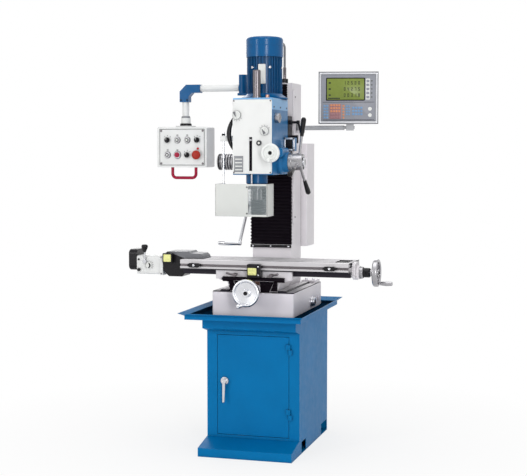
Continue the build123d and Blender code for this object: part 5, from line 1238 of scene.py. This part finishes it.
def background_rays(tree):
    """One where a ray of the camera, of a reflection or through glass looks at the background."""
    path = put(tree, "ShaderNodeLightPath").outputs
    straight = {0: path["Is Camera Ray"], 1: path["Is Glossy Ray"]}
    direct = put(tree, "ShaderNodeMath", straight, operation="MAXIMUM")
    through = {0: direct.outputs[0], 1: path["Is Transmission Ray"]}
    return put(tree, "ShaderNodeMath", through, operation="MAXIMUM").outputs[0]


def studio_paper():
    """Floor paper: plain and pale, keeps the machine's shadow and runs out to white."""
    material = blank("studio_paper")
    tree = material.node_tree
    place = put(tree, "ShaderNodeTexCoord").outputs["Object"]
    reach = put(tree, "ShaderNodeVectorMath", {0: place}, operation="LENGTH").outputs["Value"]
    spread = {"Value": reach, "From Min": 0.4, "From Max": 1.8, "To Min": 0.78, "To Max": 1.0}
    out = put(tree, "ShaderNodeMapRange", spread).outputs[0]
    white = put(tree, "ShaderNodeMath", {0: out, 1: background_rays(tree)}, operation="MULTIPLY")
    paper = put(tree, "ShaderNodeBsdfDiffuse", {"Color": (0.9, 0.9, 0.9, 1)})
    glow = put(tree, "ShaderNodeEmission", {"Color": (1, 1, 1, 1), "Strength": 1.0})
    mix = put(tree, "ShaderNodeMixShader", {0: white.outputs[0], 1: paper.outputs[0], 2: glow.outputs[0]})
    put(tree, "ShaderNodeOutputMaterial", {"Surface": mix.outputs[0]})
    return material


class MILL_OT_stage(bpy.types.Operator):
    """Pale floor, soft studio light and the photograph's camera"""

    bl_idname = "mill.stage"
    bl_label = "Studio"

    def execute(self, context):
        """Set up the world, floor, lamps and camera."""
        scene = context.scene
        scene.view_settings.view_transform = "Standard"
        world = bpy.data.worlds.new("studio")
        scene.world = world
        world.use_nodes = True
        tree = world.node_tree
        tree.nodes.clear()
        band = {"Value": background_rays(tree), "To Min": SKY_LEVEL, "To Max": 1.0}
        level = put(tree, "ShaderNodeMapRange", band)
        sky = put(tree, "ShaderNodeBackground", {"Color": (1, 1, 1, 1), "Strength": level.outputs[0]})
        put(tree, "ShaderNodeOutputWorld", {"Surface": sky.outputs[0]})
        floor_shape = bmesh.new()
        bmesh.ops.create_circle(floor_shape, cap_ends=True, segments=64, radius=14)
        mesh = bpy.data.meshes.new("studio_floor")
        floor_shape.to_mesh(mesh)
        floor_shape.free()
        mesh.materials.append(studio_paper())
        floor = bpy.data.objects.new("studio_floor", mesh)
        scene.collection.objects.link(floor)
        for name, spot, size, watts in LAMPS:
            lamp = bpy.data.lights.new(name, "AREA")
            lamp.shape = "RECTANGLE"
            lamp.size, lamp.size_y = size
            lamp.energy = watts
            light = bpy.data.objects.new(name, lamp)
            light.location = spot
            light.rotation_euler = (Vector(LAMP_AIM) - Vector(spot)).to_track_quat("-Z", "Y").to_euler()
            scene.collection.objects.link(light)
        view = bpy.data.cameras.new("photo_view")
        view.sensor_width = 36
        view.lens = CAMERA_LENS
        camera = bpy.data.objects.new("photo_view", view)
        yaw, pitch = math.radians(CAMERA_YAW), math.radians(CAMERA_PITCH)
        ahead = Vector((-math.sin(yaw) * math.cos(pitch), math.cos(yaw) * math.cos(pitch), -math.sin(pitch)))
        looked_at = Vector(CAMERA_SPOT) + ahead * CAMERA_FAR
        camera.location = looked_at - ahead * scene.mill_sizes.camera_far
        camera.rotation_euler = ahead.to_track_quat("-Z", "Y").to_euler()
        scene.collection.objects.link(camera)
        scene.camera = camera
        return {"FINISHED"}


# Panel, registration and the run

STEPS = (
    MILL_OT_finish, MILL_OT_bellows, MILL_OT_guard, MILL_OT_display, MILL_OT_pendant, MILL_OT_arms,
    MILL_OT_front, MILL_OT_head, MILL_OT_wheels, MILL_OT_table, MILL_OT_column, MILL_OT_base, MILL_OT_stage,
)


class MILL_PT_panel(bpy.types.Panel):
    """Settings and steps of the mill drill's finish"""

    bl_label = "Mill Drill"
    bl_idname = "MILL_PT_panel"
    bl_space_type = "VIEW_3D"
    bl_region_type = "UI"
    bl_category = "Mill"

    def draw(self, context):
        """List the settings, then a button for each step."""
        for settings in (context.scene.mill_colours, context.scene.mill_sizes):
            column = self.layout.column(align=True)
            for name in settings.__annotations__:
                column.prop(settings, name)
        column = self.layout.column(align=True)
        for step in STEPS:
            column.operator(step.bl_idname)


CLASSES = (MILL_PG_colours, MILL_PG_sizes) + STEPS + (MILL_PT_panel,)


def register():
    """Add the settings, steps and panel to Blender."""
    for item in CLASSES:
        bpy.utils.register_class(item)
    bpy.types.Scene.mill_colours = PointerProperty(type=MILL_PG_colours)
    bpy.types.Scene.mill_sizes = PointerProperty(type=MILL_PG_sizes)


def unregister():
    """Take the settings, steps and panel away again."""
    del bpy.types.Scene.mill_sizes
    del bpy.types.Scene.mill_colours
    for item in reversed(CLASSES):
        bpy.utils.unregister_class(item)


def main():
    """Build everything in order."""
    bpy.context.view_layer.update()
    register()
    for step in STEPS:
        group, name = step.bl_idname.split(".")
        getattr(getattr(bpy.ops, group), name)()


if __name__ == "__main__":
    main()
